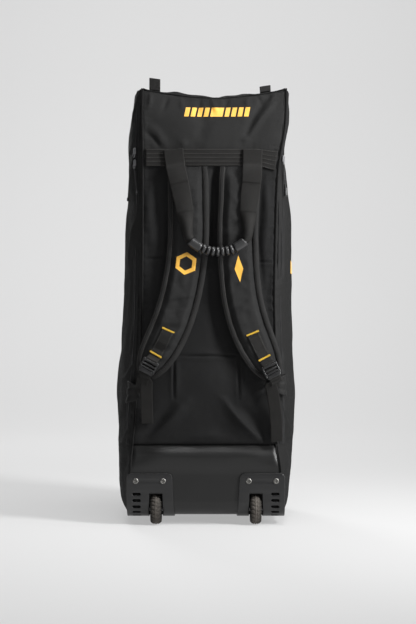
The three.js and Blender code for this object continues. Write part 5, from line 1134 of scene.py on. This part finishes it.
# Top tabs: folded webbing loops
for name, x, lean, tall in (("left", -106, 8, 27), ("right", 126, 46, 21)):
    seam_l, seam_r = section(HEIGHT)[:2]
    u = (x - seam_l) / (seam_r - seam_l)
    row = int(round(9 / (section(HEIGHT)[5] - section(HEIGHT)[4]) * count_v))
    col = int(round(u * count_u))
    foot = top[row, col]
    direction = np.array([0, math.sin(math.radians(lean)), math.cos(math.radians(lean))])
    face = np.array([0, -math.cos(math.radians(lean)), math.sin(math.radians(lean))])
    across = unit(top[row, min(col + 3, count_u)] - top[row, max(col - 3, 0)])
    loop = []
    for t in np.linspace(0, 1, 30):
        if t < 0.42:
            loop.append(foot + direction * (0.3 + t / 0.42 * (tall - 2.5)) + face * 1.9)
        elif t > 0.58:
            loop.append(foot + direction * (0.3 + (1 - t) / 0.42 * (tall - 2.5)))
        else:
            turn_at = (t - 0.42) / 0.16 * math.pi
            loop.append(foot + direction * (tall - 2.2 + math.sin(turn_at))
                        + face * (0.95 + 0.95 * math.cos(turn_at)))
    loop = np.array(loop)
    tab = ribbon(Shape(), loop, np.tile(across, (30, 1)), np.tile(face, (30, 1)), 23, 1.5, 11)
    tab.build(f"tab_loop_{name}", WEBBING, "webbing", [f"top_tab_{name}"])

# Zips: tape, coil, sliders, cords and the toggle
PULLS = [("left_lower", "left", 0.828, -0.03, 0.06), ("left_upper", "left", 0.855, 0.13, 0.1),
         ("right", "right", 0.838, 0.02, 0.055)]
for wall in ("left", "right"):
    ups = np.linspace(KICK, 872, 230)
    tape = Shape()
    for d in (-6.3, 6.3):
        point, normal = on_gusset(wall, ZIP_AT + d, ups)
        beside = unit(on_gusset(wall, ZIP_AT + d + 4, ups)[0] - point)
        ribbon(tape, point + normal * 0.3, beside, normal, 11.7, 0.35, 5)
    tape.build(f"tape_{wall}", TAPE, "trim", [f"zip_tape_{wall}"])
    teeth = Shape()
    for k, up in enumerate(np.arange(KICK + 1, 871, 2.3)):
        point, normal = on_gusset(wall, ZIP_AT + (0.9 if k % 2 else -0.9), up)
        beside = unit(on_gusset(wall, ZIP_AT + 6, up)[0] - point)
        rise = np.cross(normal, beside)
        teeth.rounded_box(point + normal * 1.1, [beside, unit(rise), normal], (4.4, 1.5, 1.2), 0.5, 1)
    teeth.build(f"teeth_{wall}", COIL, "zip", [f"zip_coil_{wall}"])
for name, wall, v, drift, long in PULLS:
    up = v * HEIGHT
    point, normal = on_gusset(wall, ZIP_AT, up)
    beside = unit(on_gusset(wall, ZIP_AT + 6, up)[0] - point)
    rise = unit(np.cross(normal, beside))
    rise = rise if rise[2] > 0 else -rise
    slider = Shape()
    axes = [beside, rise, normal]
    slider.rounded_box(point + normal * 4.4 + rise * 1, axes, (8.6, 12, 2.2), 1.0)
    slider.rounded_box(point + normal * 4.4 + rise * 5.5, axes, (5.4, 6, 2.2), 1.0)
    slider.rounded_box(point + normal * 6.4 + rise * 1.5, axes, (3.0, 9, 2.4), 1.0)
    ring_turn = np.linspace(0, 2 * math.pi, 22)
    loop = np.array([point + normal * 6.4 - rise * 6.5 + beside * 3.0 * math.sin(t) + rise * 5.0 * math.cos(t)
                     for t in ring_turn])
    tube_along(slider, loop, 0.9, 8)
    slider.build(f"slider_{name}", METAL_WORN, "slider", [f"zip_slider_{name}"])
    start = up - 8.8
    shares_down = np.linspace(0, 1, 40)
    cords = Shape()
    for twist in (-1, 1, 0):
        d = ZIP_AT + drift * DEPTH * shares_down ** 0.8 + twist * 1.3 * np.sin(np.pi * shares_down) ** 0.7
        ups = start - shares_down * long * HEIGHT
        cord_point, cord_normal = on_gusset(wall, d, ups)
        line = cord_point + cord_normal * 6.4
        if twist:
            tube_along(cords, line, 1.15, 8)
    hanging = cords.build(f"pull_{name}", CORD, "trim", [f"zip_pull_{name}"])
    end, end_normal = on_gusset(wall, ZIP_AT + drift * DEPTH, start - long * HEIGHT)
    knot_line = [end + end_normal * 6.4 + np.array([0, 0, h]) for h in (5, 3.5, 0, -2, -3)]
    knot = tube_along(Shape(), np.array(knot_line), np.array([1.6, 2.2, 2.3, 2.0, 0.9]), 12)
    ends = [knot.build(f"knot_{name}", CORD, "trim", [])]
    if name == "right":
        lift = end + end_normal * 7.4
        body = np.array([lift + np.array([0, 0, -1 - h]) for h in (0, 1.2, 4, 8, 12, 16, 18.5, 19.6)])
        knob = tube_along(Shape(), body, np.array([1.4, 2.8, 3.4, 3.2, 3.2, 3.4, 2.6, 1.2]), 20)
        ends.append(knob.build("toggle", GRIP, "grip", ["zip_toggle_right"]))


# Wheel brackets: a flat plate with its cut-outs, then bent under the bag
def loop_rect(x0, x1, s0, s1, r, steps=5):
    """Outline of a rectangle with round corners."""
    points = []
    for cx, cs, start in ((x1 - r, s1 - r, 0), (x0 + r, s1 - r, 90),
                          (x0 + r, s0 + r, 180), (x1 - r, s0 + r, 270)):
        for k in range(steps + 1):
            t = math.radians(start + 90 * k / steps)
            points.append((cx + r * math.cos(t), cs + r * math.sin(t)))
    return points


def loop_circle(x, s, r, steps=20):
    return [(x + r * math.cos(2 * math.pi * k / steps), s + r * math.sin(2 * math.pi * k / steps))
            for k in range(steps)]


def bent_plate(loops, thick, cuts):
    """Mesh of a flat outline with holes, rounded at its edges, in millimetres."""
    data = bpy.data.curves.new("outline", "CURVE")
    data.dimensions, data.fill_mode = "2D", "BOTH"
    for points in loops:
        line = data.splines.new("POLY")
        line.points.add(len(points) - 1)
        for p, (x, s) in zip(line.points, points):
            p.co = (x, s, 0, 1)
        line.use_cyclic_u = True
    data.bevel_depth, data.bevel_resolution, data.offset = 1.2, 3, -1.2
    data.extrude = thick / 2 - 1.2
    temp = bpy.data.objects.new("outline", data)
    bpy.context.scene.collection.objects.link(temp)
    bpy.context.view_layer.update()
    mesh = bpy.data.meshes.new_from_object(temp.evaluated_get(bpy.context.evaluated_depsgraph_get()))
    bpy.data.objects.remove(temp)
    bm = bmesh.new()
    bm.from_mesh(mesh)
    bmesh.ops.remove_doubles(bm, verts=bm.verts, dist=1e-4)
    for s in cuts:
        bmesh.ops.bisect_plane(bm, geom=bm.verts[:] + bm.edges[:] + bm.faces[:], plane_co=(0, s, 0),
                               plane_no=(0, 1, 0))
    points = np.array([v.co[:] for v in bm.verts])
    faces = [[v.index for v in f.verts] for f in bm.faces]
    bm.free()
    return points, faces


PLATE_TOP = 90
PLATE_INNER, PLATE_OUTER = 70.5, 166
VENT_X, VENT_TOP, VENT_PITCH = 145.5, 46.5, 13.3
SCREWS, SCREW_DOWN = (("inner", 90), ("outer", 147.5)), 16
HOUSING, HOUSING_HALF = 37.0, 15.4
STRAIGHT = PLATE_TOP - EDGE
BEND = (EDGE + 0.3 + 1.5) * math.pi / 2
REACH = 66 - EDGE
for side in (-1, 1):
    name = "left" if side < 0 else "right"
    x0, x1 = sorted((side * PLATE_INNER, side * PLATE_OUTER))
    bottom = -(STRAIGHT + BEND + REACH)
    flare = side * -6
    outline = loop_rect(x0, x1, bottom, 0, 10)
    inner_x = side * PLATE_INNER
    outline = [(x + (flare * smooth(-70, -92, s) * smooth(14, 2, abs(x - inner_x))), s) for x, s in outline]
    loops = [outline]
    slot_x = side * WHEEL_X
    loops.append(loop_rect(slot_x - 14, slot_x + 14, bottom + 18, -41, 2.5))
    for k in range(5):
        s = -(PLATE_TOP - VENT_TOP + VENT_PITCH * k)
        loops.append(loop_rect(side * VENT_X - 8.6, side * VENT_X + 8.6, s - 2.9, s + 2.9, 2.6, 3))
    for which, x in SCREWS:
        loops.append(loop_circle(side * x, -SCREW_DOWN, 2.6))
    cuts = list(np.arange(-STRAIGHT - BEND - 2, -STRAIGHT + 2, 2.4)) + list(np.arange(-STRAIGHT, 0, 9))
    points, faces = bent_plate(loops, 3, cuts)
    s, t = -points[:, 1], points[:, 2] + 1.5
    phi = np.clip((s - STRAIGHT) / (EDGE + 1.8), 0, math.pi / 2)
    radius = EDGE + 0.3 + t
    y = np.where(s < STRAIGHT, -BACK_PLANE - 0.3 - t, EDGE - BACK_PLANE - radius * np.cos(phi))
    z = np.where(s < STRAIGHT, GROUND + PLATE_TOP - s, GROUND + EDGE - radius * np.sin(phi))
    y = y + np.maximum(s - STRAIGHT - BEND, 0)
    plate = Shape().add(np.stack([points[:, 0], y, z], 1), faces)
    # Near-black sheets behind the vents, where there is only shade: painted shade
    vent_shade_sheets = Shape()
    for k in range(5):
        z_mid = GROUND + VENT_TOP - VENT_PITCH * k
        if z_mid > GROUND + EDGE:
            vent_shade_sheets.rounded_box((side * VENT_X, -BACK_PLANE - 0.75, z_mid), np.eye(3), (17, 0.5, 5.6), 0.2, 1)
    for k in range(2, 5):
        s_mid = PLATE_TOP - VENT_TOP + VENT_PITCH * k
        turn_at = min((s_mid - STRAIGHT) / (EDGE + 1.8), math.pi / 2)
        face = np.array([0, -math.cos(turn_at), -math.sin(turn_at)])
        spot = np.array([side * VENT_X, EDGE - BACK_PLANE, GROUND + EDGE]) + face * (EDGE + 0.75)
        axes = [np.array([1.0, 0, 0]), np.array([0, face[2], -face[1]]), face]
        vent_shade_sheets.rounded_box(spot, axes, (17, 5.6, 0.5), 0.2, 1)
    vent_shade_sheets.build(f"vent_shade_sheet_{name}", VENT_SHADE, "bracket")
    # Housing round the wheel
    arc = np.linspace(-math.pi * 0.02, math.pi * 0.62, 26)
    profile = [(AXLE_Y - HOUSING * math.cos(q), WHEEL_RADIUS + HOUSING * math.sin(q)) for q in arc]
    profile = [(-BACK_PLANE - 1.0, 71.0), *(p for p in profile if p[0] > -BACK_PLANE + 6),
               (AXLE_Y + HOUSING, WHEEL_RADIUS), (AXLE_Y + HOUSING, GROUND - 1)]
    roof = np.array([[(slot_x + dx, p[0], p[1]) for dx in (-HOUSING_HALF, HOUSING_HALF)] for p in profile])
    plate.grid(roof)
    for dx in (-HOUSING_HALF, HOUSING_HALF):
        rows_wall = np.array([[(slot_x + dx, p[0], p[1]), (slot_x + dx, p[0], GROUND - 1)] for p in profile])
        plate.grid(rows_wall)
    plate.build(f"bracket_{name}", BRACKET, "bracket", [f"wheel_bracket_{name}"], outward=False, sharp=40)
    # Screw heads with a cross recess
    for which, x in SCREWS:
        screw, screw_z = Shape(), GROUND + PLATE_TOP - SCREW_DOWN
        radii = np.array([0, 0.35, 0.7, 1.1, 1.6, 2.2, 2.8, 3.4, 4.0, 4.6, 5.1, 5.5, 5.8, 5.95, 6.0])
        turn = np.arange(48) / 48 * 2 * math.pi
        disc = []
        for r in radii:
            px, pz = r * np.cos(turn + 0.5 + x), r * np.sin(turn + 0.5 + x)
            height = 2.5 * np.sqrt(np.clip(1 - (r / 6.3) ** 2, 0, 1)) * np.ones(48)
            arm = np.maximum(smooth(1.3, 0.8, np.abs(px)) * smooth(3.7, 3.1, np.abs(pz)),
                             smooth(1.3, 0.8, np.abs(pz)) * smooth(3.7, 3.1, np.abs(px)))
            height = height - 2.1 * arm
            disc.append(np.stack([side * x + px, -BACK_PLANE - 3.4 - height, screw_z + pz], 1))
        skirt = disc[-1].copy()
        skirt[:, 1] = -BACK_PLANE - 3.3
        screw.tube(np.array(disc + [skirt]))
        screw.build(f"bolt_{name}_{which}", SCREW, "screw", [f"screw_{name}_{which}"])
    # Tyre with a centre rib and side blocks
    tread = []
    for along in np.linspace(-11.7, 11.7, 37):
        shoulder = max(abs(along) - 6.4, 0) / 5.3
        crown = 1.4 * min(abs(along) / 6.4, 1) ** 2 + 4.2 * shoulder ** 1.6
        tread.append((WHEEL_RADIUS - crown, along))
    tread += [(24, 11.3), (21.2, 10), (21.2, -10), (24, -11.3)]

    def blocks(k, along, turn):
        if abs(along) > 11.6 or k > 36:
            return 0
        if 1.6 < abs(along) < 3.0:
            return -1.6
        if abs(along) <= 1.6:
            return -0.5 * smooth(0.7, 0.9, np.cos(turn * 22))
        wave_at = np.cos(turn * 22 + (math.pi if along > 0 else 0) + abs(along) * 0.3)
        return -1.9 * smooth(0.35, 0.6, wave_at)

    wheel_centre = (slot_x, AXLE_Y, WHEEL_RADIUS)
    tyre = lathe(Shape(), tread + [tread[0]], wheel_centre, 208, blocks)
    tyre.build(f"tread_{name}", TYRE, "tyre", [f"tyre_{name}"], body=f"wheel_{name}")


# Prints: plain generic shapes, cut into small cells that follow the cloth
PRINT_CELL = 2.0


def print_piece(name, outline, place, thick=0.25):
    """Thin print that follows a surface: outline in (a, b), place maps (a, b) to a point and normal."""
    bm = bmesh.new()
    for points in outline:
        verts = [bm.verts.new((a, b, 0)) for a, b in points]
        bm.faces.new(verts)
    for axis in (0, 1):
        values = [v.co[axis] for v in bm.verts]
        normal = (1, 0, 0) if axis == 0 else (0, 1, 0)
        for cut in np.arange(min(values) + PRINT_CELL, max(values), PRINT_CELL):
            spot = (cut, 0, 0) if axis == 0 else (0, cut, 0)
            bmesh.ops.bisect_plane(bm, geom=bm.verts[:] + bm.edges[:] + bm.faces[:], plane_co=spot,
                                   plane_no=normal)
    flat = np.array([v.co[:] for v in bm.verts])
    faces = [[v.index for v in f.verts] for f in bm.faces]
    bm.free()
    point, normal = place(flat[:, 0], flat[:, 1])
    shape = Shape().add(point + normal * thick, faces, flat[:, :2])
    shape.build(name, GOLD, "trim", outward=False)


def place_back(a, b):
    up = b - GROUND
    for _ in range(4):
        seam_l, seam_r = section(up)[:2]
        u = (a - seam_l) / (seam_r - seam_l)
        sag = SAG * fullness(u) * (np.maximum(up - YOKE, 0) / (HEIGHT - YOKE)) ** 2
        up = b - GROUND + sag
    return on_back(a, up, True)


bars = []
x = X(184)
for k in range(9):
    wide_bar = (9.5, 9.5, 9.5, 9.5, 26, 9.5, 9.5, 9.5, 9.5)[k]
    bars.append([(x, Z(116.4)), (x + wide_bar, Z(116.4)), (x + wide_bar + 4, Z(107)), (x + 4, Z(107))])
    x += wide_bar + 4.2
print_piece("print_bar", bars, place_back)


def place_strap(name):
    def place(a, b):
        c, across, out, wide, thick, along, seed = FACINGS[name]
        points, normals = [], []
        for p, s in zip(a, b):
            i = int(np.argmin(np.abs(along - s)))
            height = strap_height(np.array([p / wide[i]]), wide[i], thick[i], np.array([s]), seed)[0]
            mid = np.array([np.interp(s, along, c[:, k]) for k in range(3)])
            points.append(mid + across[i] * p + out[i] * height)
            normals.append(out[i])
        return np.array(points), np.array(normals)
    return place


hexagon = [(math.sin(math.radians(60 * k)), math.cos(math.radians(60 * k))) for k in range(6)]
ring_parts = []
for k in range(6):
    a, b = hexagon[k], hexagon[(k + 1) % 6]
    ring_parts.append([(a[0] * 24, 205 + a[1] * 24), (b[0] * 24, 205 + b[1] * 24),
                       (b[0] * 15, 205 + b[1] * 15), (a[0] * 15, 205 + a[1] * 15)])
print_piece("print_ring", ring_parts, place_strap("left"), 0.3)
print_piece("print_lozenge", [[(0, 188), (9, 216), (0, 244), (-9, 216)]], place_strap("right"), 0.3)
print_piece("print_side_stripe", [[(90, 512), (150, 512), (150, 534), (90, 540)]],
            lambda a, b: on_gusset("right", a, b, True), 0.3)

# CAD pieces that keep their shape
for name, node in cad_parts.items():
    if node.hide_render:
        continue
    found = {"hub": HUB, "axle": AXLE, "front": BRACKET}.get(name.split("_")[0], BRACKET)
    node.data.materials.clear()
    node.data.materials.append(found)

# Floor, light and camera
scene = bpy.context.scene
floor_points, floor_faces = [], []
profile = [(-7.0, 0.0)] + [(y, 0.0) for y in np.linspace(-2.2, 2.0, 12)]
profile += [(2.0 + 1.6 * math.sin(t), 1.6 - 1.6 * math.cos(t)) for t in np.linspace(0.08, math.pi / 2, 24)]
profile += [(3.6, 3.4)]
for y, z in profile:
    floor_points += [(-4.6, y, z), (4.6, y, z)]
for k in range(len(profile) - 1):
    floor_faces.append((2 * k, 2 * k + 1, 2 * k + 3, 2 * k + 2))
floor_mesh = bpy.data.meshes.new("floor")
floor_mesh.from_pydata(floor_points, [], floor_faces)
floor_mesh.polygons.foreach_set("use_smooth", np.ones(len(floor_mesh.polygons), bool))
floor = bpy.data.objects.new("floor", floor_mesh)
scene.collection.objects.link(floor)
floor_mesh.materials.append(Look("floor_paper", (0.33, 0.33, 0.33), 0.9, Specular_IOR_Level=0.1,
                                 Emission_Color=(1, 1, 1, 1), Emission_Strength=0.395).material)

world = bpy.data.worlds.new("studio")
world.use_nodes = True
world.node_tree.nodes["Background"].inputs[0].default_value = (0.95, 0.97, 1.0, 1)
world.node_tree.nodes["Background"].inputs[1].default_value = 0.1
scene.world = world
scene.view_settings.view_transform = "Standard"


def area_light(name, place, target, size, power):
    data = bpy.data.lights.new(name, "AREA")
    data.shape, data.size, data.size_y = "RECTANGLE", size[0], size[1]
    data.energy, data.spread = power, math.radians(100)
    obj = bpy.data.objects.new(name, data)
    obj.location = place
    obj.rotation_euler = (Vector(target) - Vector(place)).to_track_quat("-Z", "Y").to_euler()
    scene.collection.objects.link(obj)


area_light("key", (1.46, -0.9, 1.55), (0, 0, 0.47), (0.4, 0.4), 12.5)
area_light("top", (0.3, -0.5, 3.0), (0, 0, 0.2), (1.4, 1.0), 13)
area_light("side", (1.75, -1.05, 0.75), (0.05, -0.15, 0.5), (0.4, 0.5), 8)
area_light("fill", (-0.6, -3.4, 1.6), (0, 0, 0.5), (1.2, 1.2), 1.4)
area_light("rear", (-1.0, 2.6, 2.2), (0, 0.1, 0.5), (0.8, 0.8), 11)
area_light("backdrop", (0, 1.3, 3.3), (0, 3.4, 0.7), (3.4, 0.8), 36)

# The photo is 1310 mm tall at the bag's back, seen from 3 m behind it
SENSOR, CAMERA_AWAY, VIEW_HEIGHT = 36, 3000, 1310
camera_data = bpy.data.cameras.new("camera")
camera_data.lens = SENSOR * CAMERA_AWAY / VIEW_HEIGHT
camera = bpy.data.objects.new("camera", camera_data)
camera.location = (MIDDLE_X * MM, -(CAMERA_AWAY + BACK_PLANE) * MM, 0.4477)
camera.rotation_euler = (math.pi / 2, 0, 0)
scene.collection.objects.link(camera)
scene.camera = camera
